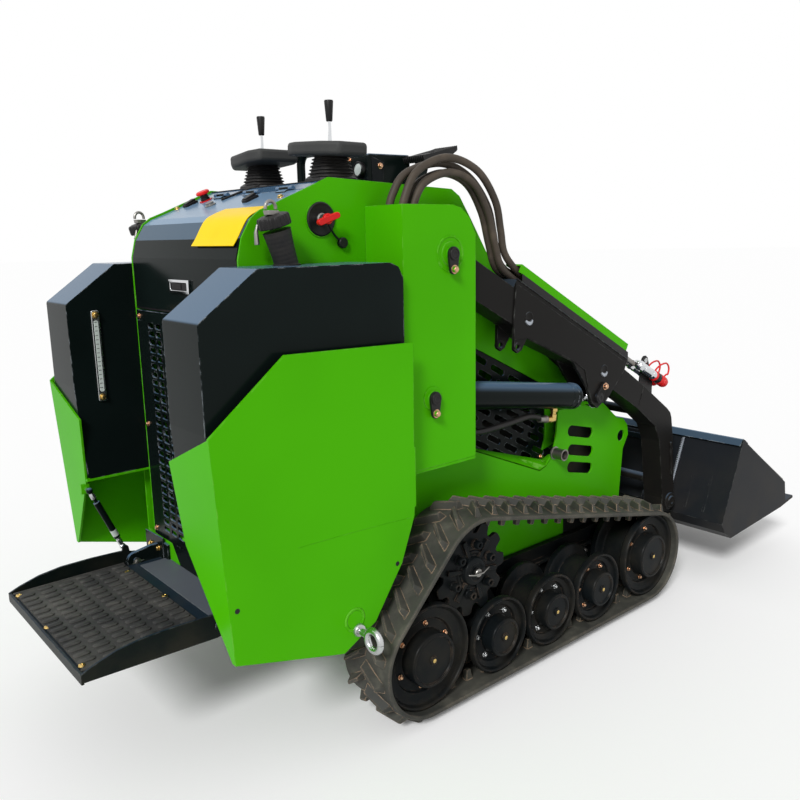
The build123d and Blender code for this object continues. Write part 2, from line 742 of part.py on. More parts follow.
# ---------------------------------------------------------------- cylinders
lift_y = arm_outer - arm_width / 2
lift_eye_half = arm_width / 2 - cheek - pin_gap
gland = along(lift_eye, lift_base, 78)
with BuildPart() as lift_barrels:
    for side in sides.values():
        y = side * lift_y
        rod(along(lift_base, lift_eye, 35), gland, lift_barrel_radius, y)
        round_bar(lift_base, 40, y - lift_eye_half, y + lift_eye_half)
        round_bar(lift_base, pin_radius + running_gap, y - arm_width, y + arm_width, Mode.SUBTRACT)
        rod(gland, along(lift_base, lift_eye, 300), lift_rod_radius + 0.4, y, Mode.SUBTRACT)
save(lift_barrels.part, "lift_barrels")
with BuildPart() as lift_rods:
    for side in sides.values():
        y = side * lift_y
        rod(lift_eye, along(lift_base, lift_eye, 306), lift_rod_radius, y)
        round_bar(lift_eye, lift_eye_radius, y - lift_eye_half, y + lift_eye_half)
save(lift_rods.part, "lift_rods")

tilt_gland = along(tilt_eye, tilt_base, 90)
with BuildPart() as tilt_barrel:
    rod(tilt_base, tilt_gland, tilt_barrel_radius, 0)
    round_bar(tilt_base, tilt_eye_radius, -tilt_eye_radius, tilt_eye_radius)
    round_bar(tilt_base, tilt_pin + running_gap, -40, 40, Mode.SUBTRACT)
    rod(tilt_gland, along(tilt_base, tilt_eye, 55), tilt_rod_radius + 0.4, 0, Mode.SUBTRACT)
save(tilt_barrel.part, "tilt_barrel")
with BuildPart() as tilt_rod:
    rod(tilt_eye, along(tilt_base, tilt_eye, 126), tilt_rod_radius, 0)
    round_bar(tilt_eye, tilt_eye_radius, -tilt_eye_radius, tilt_eye_radius)
save(tilt_rod.part, "tilt_rod")

# ---------------------------------------------------------------- platform
deck_front = platform_pivot[0] - 30
apron_front = bracket_face - moving_gap - 0.5   # bare plate that carries on between the brackets
apron_half = pin_end - moving_gap
side_top = ((platform_rear, 304), (-1290, 316), (-1240, 331), (-1182, 339), (-1100, 340), (-1010, 337),
            (-965, 322), (-960, 300), (-970, 282), (-1000, 276), (platform_rear, 284))
with BuildPart() as platform:
    for side in sides.values():
        slab(side_top, side * (platform_half - platform_plate), side * platform_half)
        round_bar(platform_pivot, 9.5, side * (platform_half + 1),
                  side * (platform_half - platform_plate - 1), Mode.SUBTRACT)
    hull(((*strut_foot, 9), (-1003, 322, 12)), platform_half - platform_plate, platform_half)
    round_bar(strut_foot, 4, platform_half - 2, strut_y - 9 - running_gap)
    brick((platform_rear, deck_front), (-platform_half + 1, platform_half - 1),
          (deck_top - platform_plate, deck_top))
    brick((deck_front - 1, apron_front), (-apron_half, apron_half), (deck_top - platform_plate, deck_top))
    brick((platform_rear, platform_rear + 6), (-platform_half + 1, platform_half - 1), (280, 304))
    brick((deck_front - 6, deck_front), (-platform_half + 1, platform_half - 1), (278, deck_top))
save(platform.part, "platform")

with BuildPart() as platform_mat:
    brick((platform_rear + 12, deck_front - 6), (-platform_half + 16, platform_half - 16),
          (deck_top + running_gap, deck_top + mat_thickness))
save(platform_mat.part, "platform_mat")

strut_ball = 9
strut_bore = 4.4
with BuildPart() as strut_barrel:
    rod(along(strut_top, strut_foot, 40), along(strut_top, strut_foot, 166), 9, strut_y)
    rod(along(strut_top, strut_foot, 4), along(strut_top, strut_foot, 40), 4.5, strut_y)
    with Locations((strut_top[0], strut_y, strut_top[1] + lug_height)):
        Sphere(strut_ball)
    rod(along(strut_top, strut_foot, 167), along(strut_top, strut_foot, 80), strut_bore, strut_y, Mode.SUBTRACT)
save(strut_barrel.part, "strut_barrel")
with BuildPart() as strut_rod:
    rod(strut_foot, along(strut_foot, strut_top, 105), strut_bore - 0.4, strut_y)
    with Locations((strut_foot[0], strut_y, strut_foot[1] + lug_height)):
        Sphere(strut_ball)
save(strut_rod.part, "strut_rod")

# ---------------------------------------------------------------- boom hoses
hose_radius = 10
hose_level = hose_radius + running_gap


def on_arm(x, layer):
    """Point of a hose that lies on the arm's top, in one of two layers."""
    (x0, z0), (x1, z1) = arm_top
    rise = hose_level * (2 * layer + 1) * math.hypot(1, (z1 - z0) / (x1 - x0))
    return (x, on_line(arm_top, x) + rise)


low_route = ((-466, hose_foot), (-466, 1272), (-425, 1338), (-335, 1370), (-243, 1342), (-182, 1265),
             (-162, 1182), (-146, 1120), (-103, 1087), on_arm(-40, 0), on_arm(50, 0), on_arm(130, 0))
high_route = ((-496, hose_foot), (-496, 1288), (-450, 1366), (-340, 1406), (-228, 1376), (-156, 1295),
              (-138, 1220), (-134, 1160), (-104, 1114), on_arm(-40, 1), on_arm(50, 1), on_arm(130, 1))


def hose(route, y):
    """Tube of straight runs joined by arcs as large as the runs allow."""
    points = [(x, y, z + lug_height) for x, z in route]
    corners = [points[0]]
    for a, b, c in zip(points, points[1:], points[2:]):
        turn = (Vector(*b) - Vector(*a)).get_angle(Vector(*c) - Vector(*b))
        if turn > 0.2:
            corners.append(b)
    corners.append(points[-1])
    radii = []
    for a, b, c in zip(corners, corners[1:], corners[2:]):
        run = min(math.dist(a, b), math.dist(b, c))
        turn = (Vector(*b) - Vector(*a)).get_angle(Vector(*c) - Vector(*b))
        radii.append(0.45 * run / math.tan(math.radians(turn) / 2))
    with BuildPart() as tube:
        with BuildLine() as path:
            FilletPolyline(*corners, radius=radii)
        with BuildSketch(Plane(origin=corners[0], z_dir=(0, 0, 1))):
            Circle(hose_radius)
        sweep(path=path.wires()[0])
    print("hose radii", [round(v) for v in radii])
    return tube.part


with BuildPart() as boom_hoses:
    for y in (RIGHT * (arm_inner + 16), RIGHT * (arm_inner + 39)):
        add(hose(low_route, y))
        add(hose(high_route, y))
save(boom_hoses.part, "boom_hoses")
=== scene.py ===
"""Stand-on tracked loader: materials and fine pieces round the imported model.

Laid out as an add-on and run as a script. +X forward, +Y left, +Z up. Shapes are worked out in millimetres,
with heights above the belt's underside, and piece() puts them in the scene in metres.
"""

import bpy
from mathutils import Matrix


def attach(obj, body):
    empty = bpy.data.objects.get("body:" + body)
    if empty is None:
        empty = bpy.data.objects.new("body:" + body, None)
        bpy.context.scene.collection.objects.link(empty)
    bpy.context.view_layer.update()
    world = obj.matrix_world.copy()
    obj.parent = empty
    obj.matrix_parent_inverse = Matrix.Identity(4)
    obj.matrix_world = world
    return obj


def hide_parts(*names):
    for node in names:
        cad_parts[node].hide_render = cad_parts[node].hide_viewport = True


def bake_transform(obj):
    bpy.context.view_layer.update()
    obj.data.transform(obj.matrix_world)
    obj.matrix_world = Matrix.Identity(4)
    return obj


bl_info = {
    "name": "Stand-on tracked loader",
    "version": (1, 0, 0),
    "blender": (4, 5, 0),
    "location": "View3D > Sidebar > Loader",
    "description": "Dresses the loader's packed model with finishes and fine pieces",
    "category": "Object",
}

import math

import bmesh
import bpy
import numpy as np
from bpy.props import FloatProperty, FloatVectorProperty, PointerProperty
from mathutils import Matrix, Vector

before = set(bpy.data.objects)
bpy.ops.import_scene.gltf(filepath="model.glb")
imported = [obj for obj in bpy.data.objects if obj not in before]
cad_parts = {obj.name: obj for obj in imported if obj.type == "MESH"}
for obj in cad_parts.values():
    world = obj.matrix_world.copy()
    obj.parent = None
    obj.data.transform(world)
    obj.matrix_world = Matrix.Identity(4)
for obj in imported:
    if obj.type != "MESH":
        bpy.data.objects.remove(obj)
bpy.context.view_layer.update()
TAU = 2 * math.pi
MM = 0.001
LUG = 0.024                  # the belt's underside stands this high on its lugs, in metres
RIGHT, LEFT = -1, 1
BOTH = (LEFT, RIGHT)
SIDES = (("left", LEFT), ("right", RIGHT))
X, Y, Z = np.eye(3)
UP, REARWARD = (0, 0, 1), (-1, 0, 0)


# ------------------------------------------------------------------ shapes
def grid_faces(nu, nv, close_u=False, close_v=False):
    """Quads of a grid of nu by nv points, rows along v, wrapped where asked."""
    u = np.arange(nu if close_u else nu - 1)
    v = np.arange(nv if close_v else nv - 1)
    a, b = (part.ravel() for part in np.meshgrid(u, v, indexing="ij"))
    a1, b1 = (a + 1) % nu, (b + 1) % nv
    return np.stack([a * nv + b, a1 * nv + b, a1 * nv + b1, a * nv + b1], 1)


def rotation(axis):
    """3x3 matrix whose third column is the axis; one number alone stands for that way along Y."""
    w = np.array((0, axis, 0) if np.isscalar(axis) else axis, float)
    w /= np.linalg.norm(w)
    u = np.cross(Z if abs(w[2]) < 0.9 else X, w)
    u /= np.linalg.norm(u)
    return np.stack([u, np.cross(w, u), w], 1)


def lathe(profile, base, axis, steps=32, ring=False):
    """Solid of revolution: each (radius, distance) is turned round the axis from base.

    The section runs from axis to axis, or is a closed loop for a ring.
    """
    r, h = np.array(profile, float).T
    angle = np.arange(steps) * TAU / steps
    local = np.stack([np.outer(r, np.cos(angle)), np.outer(r, np.sin(angle)),
                      np.repeat(h[:, None], steps, 1)], -1).reshape(-1, 3)
    return local @ rotation(axis).T + np.array(base), grid_faces(len(r), steps, close_u=ring, close_v=True)


def tube(path, radius, sides=12):
    """Closed tube: round each point a circle square to the way ahead, its first axis the path's flattest way."""
    path = np.array(path, float)
    ahead = np.gradient(path, axis=0)
    ahead /= np.linalg.norm(ahead, axis=1)[:, None]
    flat = np.linalg.svd(path - path.mean(0))[2][2]
    u = flat - ahead * (ahead @ flat)[:, None]
    u /= np.linalg.norm(u, axis=1)[:, None]
    v = np.cross(ahead, u)
    angle = np.arange(sides)[:, None] * TAU / sides
    r = np.broadcast_to(np.array(radius, float), (len(path),))[:, None, None]
    rings = path[:, None] + r * (np.cos(angle) * u[:, None] + np.sin(angle) * v[:, None])
    points = np.concatenate([np.repeat(path[:1], sides, 0), rings.reshape(-1, 3), np.repeat(path[-1:], sides, 0)])
    return points, grid_faces(len(path) + 2, sides, close_v=True)


def curve_points(points, per_span=8):
    """Smooth line through points: Catmull-Rom spans, each sampled evenly."""
    p = np.array(points, float)
    p = np.vstack([2 * p[0] - p[1], p, 2 * p[-1] - p[-2]])
    a, b, c, d = (x[:, None] for x in (p[:-3], p[1:-2], p[2:-1], p[3:]))
    t = np.linspace(0, 1, per_span, endpoint=False)[:, None]
    spans = 0.5 * (2 * b + (c - a) * t + (2 * a - 5 * b + 4 * c - d) * t ** 2 + (3 * b - a - 3 * c + d) * t ** 3)
    return np.vstack([spans.reshape(-1, p.shape[1]), p[-2:-1]])


def bead(points, radius=3.0, step=6.0):
    """Weld bead: a tube along straight runs that swells and narrows with every ripple."""
    p = np.array(points, float)
    way = np.concatenate([[0], np.cumsum(np.linalg.norm(np.diff(p, axis=0), axis=1))])
    at = np.linspace(0, way[-1], max(int(way[-1] / step * 2), 4))
    path = np.stack([np.interp(at, way, p[:, i]) for i in range(3)], 1)
    return tube(path, radius * (1 + 0.22 * np.cos(np.arange(len(at)) * math.pi)), 7)


def prism(outline, axes, origin, depth):
    """Flat outline in the plane of two axes, carried depth along their cross product."""
    outline = np.array(outline, float)
    u, v = (np.array(axis, float) for axis in axes)
    low = np.array(origin) + outline[:, :1] * u + outline[:, 1:] * v
    n = len(outline)
    i = np.arange(n)
    sides = np.stack([i, (i + 1) % n, (i + 1) % n + n, i + n], 1)
    return np.vstack([low, low + np.cross(u, v) * depth]), [i[::-1].tolist(), (i + n).tolist(), *sides.tolist()]


def plate(outline, y0, y1):
    """Side outline of (x, z) between two widths."""
    return prism(outline, (X, Z), (0, y0, 0), y0 - y1)


def across(outline, x0, x1):
    """Outline of (y, z) between two stations."""
    return prism(outline, (Y, Z), (x0, 0, 0), x1 - x0)


def corners(a0, a1, b0, b1):
    """Outline of a rectangle from its two spans."""
    return [(a0, b0), (a1, b0), (a1, b1), (a0, b1)]


def block(x0, x1, y0, y1, z0, z1):
    """Closed block from its three spans."""
    return plate(corners(x0, x1, z0, z1), y0, y1)


def rounded(width, height, radius, steps=5):
    """Rectangle about the origin with quarter circles at its corners."""
    angle = np.linspace(0, math.pi / 2, steps)
    corner = np.stack([np.cos(angle), np.sin(angle)], 1) * radius
    parts = []
    for i, (sx, sy) in enumerate(((1, 1), (-1, 1), (-1, -1), (1, -1))):
        c, s = math.cos(i * math.pi / 2), math.sin(i * math.pi / 2)
        parts.append(corner @ np.array([[c, s], [-s, c]]) + [sx * (width / 2 - radius), sy * (height / 2 - radius)])
    return np.vstack(parts)


def stack(levels, steps=5):
    """Closed body of rounded rectangles, one ring for each (z, x, y, length, width, corner radius)."""
    rings = [np.hstack([rounded(l, w, r, steps) + (x, y), np.full((4 * steps, 1), z)]) for z, x, y, l, w, r in levels]
    first, last = (np.tile(ring.mean(0), (4 * steps, 1)) for ring in (rings[0], rings[-1]))
    return np.vstack([first, *rings, last]), grid_faces(len(rings) + 2, 4 * steps, close_v=True)


def band(a, b, steps=14):
    """Outline round two discs (x, z, radius): both outer arcs and the lines that touch them."""
    dx, dz = b[0] - a[0], b[1] - a[1]
    way, lean = math.atan2(dz, dx), math.acos((a[2] - b[2]) / math.hypot(dx, dz))
    back = np.linspace(way + lean, way + TAU - lean, steps)
    front = np.linspace(way - lean, way + lean, steps)
    return np.vstack([np.stack([c[0] + c[2] * np.cos(t), c[1] + c[2] * np.sin(t)], 1)
                      for c, t in ((a, back), (b, front))])


def slotted(centres, cell, hole, thickness, origin, u, v, corner=None, steps=5):
    """Plate of closed cells, each a rectangle with a rounded slot through it.

    The slot's ring is a rounded rectangle; the cell's ring is the unit circle pushed out to the square
    round it and scaled to the cell. Four rings, front and back, close each cell.
    """
    ring = rounded(*hole, corner or min(hole) / 2 - 0.01, steps)
    angle = (np.linspace(0, math.pi / 2, steps) + np.arange(4)[:, None] * math.pi / 2).ravel()
    unit = np.stack([np.cos(angle), np.sin(angle)], 1)
    square = unit / np.abs(unit).max(1)[:, None] * (cell[0] / 2 - 0.01, cell[1] / 2 - 0.01)
    depth = np.array([0, 0, thickness, thickness], float)[:, None, None]
    local = np.stack([square, ring, ring, square])[None] + np.array(centres, float)[:, None, None]
    points = np.array(origin) + local[..., :1] * u + local[..., 1:] * v + (depth * np.cross(u, v))[None]
    faces = grid_faces(4, 4 * steps, close_u=True, close_v=True)
    starts = np.arange(len(centres)) * 16 * steps
    return points.reshape(-1, 3), (faces[None] + starts[:, None, None]).reshape(-1, 4)


def ledge(y0, outer, y1, inner, thick=3.0):
    """Closed ruled strip: its top joins two lines station by station and its underside lies thick below."""
    a, b = (np.array([(x, y, z) for x, z in line], float) for line, y in ((outer, y0), (inner, y1)))
    rings = np.stack([a, b, b - (0, 0, thick), a - (0, 0, thick)], 1)
    first, last = (np.repeat(r.mean(0)[None], 4, 0) for r in (rings[0], rings[-1]))
    return np.vstack([first, rings.reshape(-1, 3), last]), grid_faces(len(rings) + 2, 4, close_v=True)


def inside(points, outline):
    """Whether each point lies in an outline, by counting the edges that its ray to the right crosses."""
    a = np.array(outline, float)
    b = np.roll(a, -1, 0)
    x, z = points[:, :1], points[:, 1:]
    crosses = (a[:, 1] > z) != (b[:, 1] > z)
    reach = a[:, 0] + (z - a[:, 1]) * (b[:, 0] - a[:, 0]) / np.where(b[:, 1] == a[:, 1], 1, b[:, 1] - a[:, 1])
    return (crosses & (x < reach)).sum(1) % 2 == 1


def bolt(centre, normal, radius, head):
    """Washer, hexagonal head and its crown."""
    m = rotation(normal)
    washer = lathe(corners(0, radius * 1.35, 0, 1.4), centre, normal, 20)
    base = np.array(centre) + m[:, 2] * 1.4
    angle = np.arange(6) * TAU / 6
    hexagon = np.stack([np.cos(angle), np.sin(angle)], 1) * radius
    crown = lathe([(0, 0), (radius * 0.82, 0), (radius * 0.72, head * 0.22), (0, head * 0.3)],
                  base + m[:, 2] * head, normal, 16)
    return [washer, prism(hexagon, (m[:, 0], m[:, 1]), base, head), crown]


def piece(name, shapes, finish, body="chassis", bevel=0.0, smooth=35, segments=2):
    """Mesh object from closed shapes in mm, merged, turned outwards, finished and hung on a body."""
    points, faces, start = [], [], 0
    for p, f in shapes:
        points.append(p)
        faces += (f + start).tolist() if isinstance(f, np.ndarray) else [[i + start for i in face] for face in f]
        start += len(p)
    mesh = bpy.data.meshes.new(name)
    mesh.from_pydata((np.vstack(points) * MM + (0, 0, LUG)).tolist(), [], faces)
    work = bmesh.new()
    work.from_mesh(mesh)
    bmesh.ops.remove_doubles(work, verts=work.verts, dist=1e-6)
    bmesh.ops.dissolve_degenerate(work, edges=work.edges, dist=1e-7)
    bmesh.ops.recalc_face_normals(work, faces=work.faces)
    work.to_mesh(mesh)
    work.free()
    mesh.materials.append(finishes[finish])
    mesh.shade_smooth()
    thing = bpy.data.objects.new(name, mesh)
    bpy.context.scene.collection.objects.link(thing)
    if bevel:
        edge = thing.modifiers.new("edge", "BEVEL")
        edge.width, edge.segments, edge.limit_method = bevel * MM, segments, "ANGLE"
        edge.angle_limit = math.radians(32)
        edge.harden_normals = False
    if smooth:
        mesh.set_sharp_from_angle(angle=math.radians(smooth))
    if body:
        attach(thing, body)
    return thing


def bolts(name, places, finish, body="chassis", radius=6.5, head=5.5):
    """One piece of several bolts, each at a place with the direction of its head."""
    return piece(name, [shape for spot, way in places for shape in bolt(spot, way, radius, head)], finish, body,
                 bevel=0.5)


def keeper(pin, foot, y, side, thick, ring, end):
    """Pin's keeper plate: a pear outline round pin and foot, a raised ring and the pin's dished end."""
    spot = (pin[0], y + side * (thick - 0.2), pin[1])
    return [plate(band(pin, foot), y, y + side * thick), lathe(ring, spot, side, 28, ring=True),
            lathe(end, spot, side, 28)]


# ------------------------------------------------------------------ shader maths
def plain(r, g, b):
    """Display colour, 0 to 255, as the scene's linear colour."""
    return tuple(((c / 255 + 0.055) / 1.055) ** 2.4 if c > 10 else c / 255 / 12.92 for c in (r, g, b)) + (1.0,)


def shade(colour, share):
    """A colour made lighter or darker."""
    return tuple(c * share for c in colour[:3]) + (1,)


class Value:
    """A shader socket that adds and scales like a number."""

    def __init__(self, finish, socket):
        self.finish, self.socket = finish, socket

    def _sum(self, operation, first, second):
        return self.finish.node("ShaderNodeMath", {"operation": operation}, {0: first, 1: second})

    def __add__(self, other):
        return self._sum("ADD", self, other)

    def __sub__(self, other):
        return self._sum("SUBTRACT", self, other)

    def __rsub__(self, other):
        return self._sum("SUBTRACT", other, self)

    def __mul__(self, other):
        return self._sum("MULTIPLY", self, other)

    __radd__, __rmul__ = __add__, __mul__

    def clip(self):
        return self.finish.node("ShaderNodeClamp", {}, {"Value": self})

    def rise(self, low, high):
        """0 below low, 1 above high, smooth between."""
        return self.finish.node("ShaderNodeMapRange", {"interpolation_type": "SMOOTHSTEP"},
                                {"Value": self, "From Min": low, "From Max": high})


class Finish:
    """A material: one Principled shader and the nodes that vary it."""

    def __init__(self, name, **constants):
        self.material = bpy.data.materials.new(name)
        self.material.use_nodes = True
        self.tree = self.material.node_tree
        self.tree.nodes.clear()
        output = self.tree.nodes.new("ShaderNodeOutputMaterial")
        self.shader = self.tree.nodes.new("ShaderNodeBsdfPrincipled")
        self.tree.links.new(self.shader.outputs[0], output.inputs[0])
        self.set(**constants)

    def set(self, **sockets):
        """Values or links for the shader's sockets, underscores standing for spaces."""
        for key, value in sockets.items():
            self._plug(self.shader, key.replace("_", " "), value)

    def _plug(self, node, key, value):
        if isinstance(value, Value):
            self.tree.links.new(value.socket, node.inputs[key])
        else:
            node.inputs[key].default_value = value

    def node(self, kind, settings, inputs, output=0):
        """Adds a node with its settings, then the values or links of its sockets."""
        made = self.tree.nodes.new(kind)
        for key, value in settings.items():
            setattr(made, key, value)
        for key, value in inputs.items():
            self._plug(made, key, value)
        return Value(self, made.outputs[output])

    def where(self):
        return self.node("ShaderNodeTexCoord", {}, {}, "Object")

    def height(self, vector):
        return self.node("ShaderNodeSeparateXYZ", {}, {"Vector": vector}, "Z")

    def noise(self, scale, detail):
        return self.node("ShaderNodeTexNoise", {}, {"Vector": self.where(), "Scale": scale, "Detail": detail,
                                                    "Roughness": 0.55})

    def mix(self, share, first, second):
        """Colour mix, and not a Math node, which would turn the colours grey."""
        made = self.tree.nodes.new("ShaderNodeMix")
        made.data_type = "RGBA"
        for index, value in ((0, share), (6, first), (7, second)):
            self._plug(made, index, value)
        return Value(self, made.outputs[2])

    def edges(self, radius):
        """Normals rounded near sharp edges."""
        return self.node("ShaderNodeBevel", {"samples": 3}, {"Radius": radius})

    def bump(self, height, strength, distance, **normal):
        return self.node("ShaderNodeBump", {}, {**normal, "Height": height, "Strength": strength,
                                                "Distance": distance})

    def rims(self, low=0.02, high=0.25):
        """1 near sharp edges and 0 on flats, from how far the rounded normal turns."""
        rounded_normal = self.edges(0.004)
        true_normal = self.node("ShaderNodeNewGeometry", {}, {}, "True Normal")
        likeness = self.node("ShaderNodeVectorMath", {"operation": "DOT_PRODUCT"},
                             {0: rounded_normal, 1: true_normal}, "Value")
        return (1 - likeness).rise(low, high)


SOIL, PALE, GREY = (104, 92, 72), (196, 200, 190), (120, 122, 118)


def paint(name, colour, drifted, rough=0.22, shine=0.07, dust=0.35, dust_top=0.55, edge_wear_and_highlight=0.25, wear_and_highlight_colour=PALE, sky=0.0,
          painted_sky_colour=(84, 116, 150)):
    """Sprayed enamel: faint orange peel and drift of shade, dust low down, pale edges that are partly wear and partly a
    painted highlight, and a painted sky reflection on upward faces.
    """
    f = Finish(name, Specular_IOR_Level=shine)
    drift, speck = f.noise(1.7, 3), f.noise(90, 6)
    base = f.mix(drift.rise(0.35, 0.7), colour, drifted)
    # Painted reflection: upward faces are mixed towards a sky colour, as strongly as sky asks, for the sky mirrored in
    # gloss paint.
    if sky:
        upward = f.height(f.node("ShaderNodeNewGeometry", {}, {}, "Normal"))
        base = f.mix((upward.rise(0.3, 0.9) * sky).clip(), base, plain(*painted_sky_colour))
    low = 1 - f.height(f.where()).rise(0.03, dust_top)
    dirt = (low * f.noise(9, 8).rise(0.35, 0.75) * dust + f.noise(3.1, 8).rise(0.62, 0.8) * dust * 0.25).clip()
    base = f.mix(dirt, base, plain(*SOIL))
    # Pale marks on sharp edges: partly wear, and partly a painted highlight along the edges.
    worn = (f.rims() * f.noise(38, 5).rise(0.45, 0.62) * edge_wear_and_highlight).clip()
    peel = f.noise(260, 3) + 0.6 * f.noise(34, 3)
    f.set(Base_Color=f.mix(worn, base, plain(*wear_and_highlight_colour)), Roughness=(rough + 0.06 * speck + 0.5 * dirt + 0.2 * worn).clip(),
          Normal=f.bump(peel, 0.05, 0.0006, Normal=f.edges(0.0022)))
    return f.material


def metal(name, colour, rough=0.28, stain=(96, 78, 56), stained=0.25, scale=60.0):
    """Bare or plated metal with stain in patches and fine scratches."""
    f = Finish(name, Metallic=1.0)
    patch = f.noise(14, 8).rise(0.5, 0.78) * stained
    lines = f.noise(scale, 5)
    colour = plain(*colour)
    base = f.mix(patch, f.mix(lines, colour, shade(colour, 0.82)), plain(*stain))
    f.set(Base_Color=base, Roughness=(rough + 0.18 * lines + 0.4 * patch - 0.09).clip(),
          Normal=f.bump(lines, 0.08, 0.0005))
    return f.material


def rubber(name, colour, dusty, rough=0.62, dust=0.5, grain=420.0, bump=0.25, shine=0.25, edge=0.0,
           rim=(150, 118, 92)):
    """Rubber or moulded plastic: fine grain, pale scuffs, settled dust and scuffed edges."""
    f = Finish(name, Specular_IOR_Level=shine)
    scuff, settle = f.noise(22, 9).rise(0.45, 0.75), f.noise(6, 7).rise(0.3, 0.75)
    dirt = ((scuff * 0.55 + settle * 0.6) * dust).clip()
    base = f.mix(dirt, plain(*colour), plain(*dusty))
    if edge:
        base = f.mix((f.rims(0.03, 0.3) * f.noise(30, 5).rise(0.32, 0.58) * edge).clip(), base, plain(*rim))
    f.set(Base_Color=base, Roughness=(rough + 0.22 * dirt + 0.08 * f.noise(60, 3) - 0.04).clip(),
          Normal=f.bump(f.noise(grain, 4) + 0.5 * f.noise(grain / 9, 4), bump, 0.0006))
    return f.material


finishes = {}


def make_finishes(colours):
    """Every finish of the loader, by the name the pieces ask for."""
    green, black = tuple(colours.green) + (1,), tuple(colours.black) + (1,)
    # The sky values paint a reflection of the sky on upward faces; the pale edge colours of the green and black enamel
    # are partly a painted highlight.
    finishes.update({
        "green": paint("green enamel", green, shade(green, 0.9), dust=0.1, dust_top=0.42, shine=0.04,
                       wear_and_highlight_colour=(190, 240, 130)),
        "black": paint("black enamel", black, shade(black, 1.5), rough=0.16, dust=0.06, dust_top=0.5, edge_wear_and_highlight=0.8,
                       wear_and_highlight_colour=(168, 176, 182), sky=0.8, painted_sky_colour=(90, 116, 142)),
        "hood": paint("hood enamel", black, shade(black, 1.5), rough=0.16, dust=0.06, edge_wear_and_highlight=0.35, wear_and_highlight_colour=GREY, sky=0.9,
                      painted_sky_colour=(116, 146, 174)),
        "deck": paint("deck enamel", black, shade(black, 1.5), rough=0.3, dust=0.3, dust_top=0.5, edge_wear_and_highlight=0.5, wear_and_highlight_colour=GREY,
                      sky=0.1),
        "apron": paint("apron enamel", plain(88, 94, 102), plain(100, 106, 112), rough=0.4, dust=0.1, shine=0.1,
                       edge_wear_and_highlight=0.3),
        # The console's slate blue is a painted reflection of the sky on black gloss.
        "console": paint("console painted sky reflection", plain(70, 102, 132), plain(74, 106, 136), rough=0.12, shine=0.5, dust=0.06,
                         edge_wear_and_highlight=0.3),
        "bucket": paint("bucket enamel", plain(22, 24, 27), plain(28, 30, 33), rough=0.34, dust=0.1, dust_top=0.62,
                        edge_wear_and_highlight=0.6, wear_and_highlight_colour=GREY, sky=0.35, painted_sky_colour=(74, 88, 104)),
        "beam": paint("arm enamel", plain(24, 23, 22), plain(28, 27, 26), rough=0.3, dust=0.08, dust_top=0.6,
                      edge_wear_and_highlight=0.5, wear_and_highlight_colour=GREY, sky=0.55, painted_sky_colour=(80, 98, 118)),
        "wheel": paint("wheel enamel", plain(12, 16, 18), plain(18, 22, 24), rough=0.3, dust=0.12, dust_top=0.5,
                       edge_wear_and_highlight=0.5, wear_and_highlight_colour=(120, 100, 84)),
        "engine": paint("engine castings", plain(16, 18, 18), plain(24, 26, 26), rough=0.6, shine=0.1, dust=0.3,
                        dust_top=1.2, edge_wear_and_highlight=0.2),
        "tread": rubber("track rubber", (46, 47, 44), (98, 96, 86), dust=0.7, grain=160, bump=0.5,
                        edge=0.85, rim=(182, 154, 126)),
        "hose": rubber("hose rubber", (52, 46, 40), (104, 92, 78), rough=0.5, dust=0.55, grain=500),
        "boot": rubber("moulded rubber", (26, 26, 27), (84, 78, 70), rough=0.55, dust=0.3),
        "pad": rubber("palm rest", (52, 53, 53), (76, 76, 73), rough=0.6, dust=0.4, grain=900, bump=0.1),
        "mat": rubber("mat rubber", (44, 45, 46), (112, 110, 104), rough=0.6, grain=240, bump=0.4,
                      edge=0.5, rim=(110, 104, 96)),
        "plastic": rubber("black plastic", (16, 16, 18), (62, 58, 52), rough=0.42, dust=0.22, grain=700,
                          bump=0.12),
        "steel": metal("zinc plate", (206, 208, 208), rough=0.26, stained=0.3),
        "chrome": metal("polished chrome", (226, 228, 230), rough=0.07, stained=0.06, scale=160),
        "brass": metal("yellow zinc", (222, 190, 118), rough=0.26, stain=(120, 88, 50), stained=0.3),
        "copper": metal("copper bolt", (216, 172, 138), rough=0.3, stain=(110, 78, 58), stained=0.3),
        "worn": metal("worn steel", (150, 148, 144), rough=0.38, stain=(92, 66, 46), stained=0.6),
        "weld": metal("plug weld", (176, 182, 190), rough=0.34, stain=(70, 66, 62), stained=0.5, scale=220),
        "red": rubber("red plastic", (214, 22, 24), (168, 40, 34), rough=0.32, dust=0.3, grain=700,
                      bump=0.08),
        "yellow": rubber("yellow plate", (243, 205, 3), (214, 178, 24), rough=0.34, dust=0.2, grain=700,
                         bump=0.05, shine=0.08),
        "glass": rubber("gauge window", (196, 206, 200), (150, 156, 150), rough=0.12, dust=0.2, bump=0.02,
                        shine=0.6),
    })


pairs = {"tower": "green", "tank": "black", "fender": "green", "track": "tread", "track_frame": "black",
         "rollers": "wheel", "sprocket": "wheel", "boom_arm": "beam"}
node_finish = {
    "chassis_frame": "green", "platform_brackets": "black", "engine_block": "engine", "body_shell": "green",
    "hood_lid": "hood", "console": "console", "rear_grille": "black", "side_grilles": "black",
    "filler_necks": "plastic", "eye_bolts": "steel", "control_pods": "boot", "levers": "chrome",
    "grab_bar": "black", "front_box": "black", "isolator": "red", "boom_cross": "beam", "hose_covers": "green",
    "couplers": "steel", "boom_hoses": "hose", "bucket": "bucket", "quick_attach": "bucket",
    "lift_barrels": "black", "lift_rods": "chrome", "tilt_barrel": "black", "tilt_rod": "chrome",
    "platform": "deck", "platform_mat": "mat", "strut_barrel": "black", "strut_rod": "chrome",
    **{f"{name}_{side}": finish for name, finish in pairs.items() for side, _ in SIDES},
}


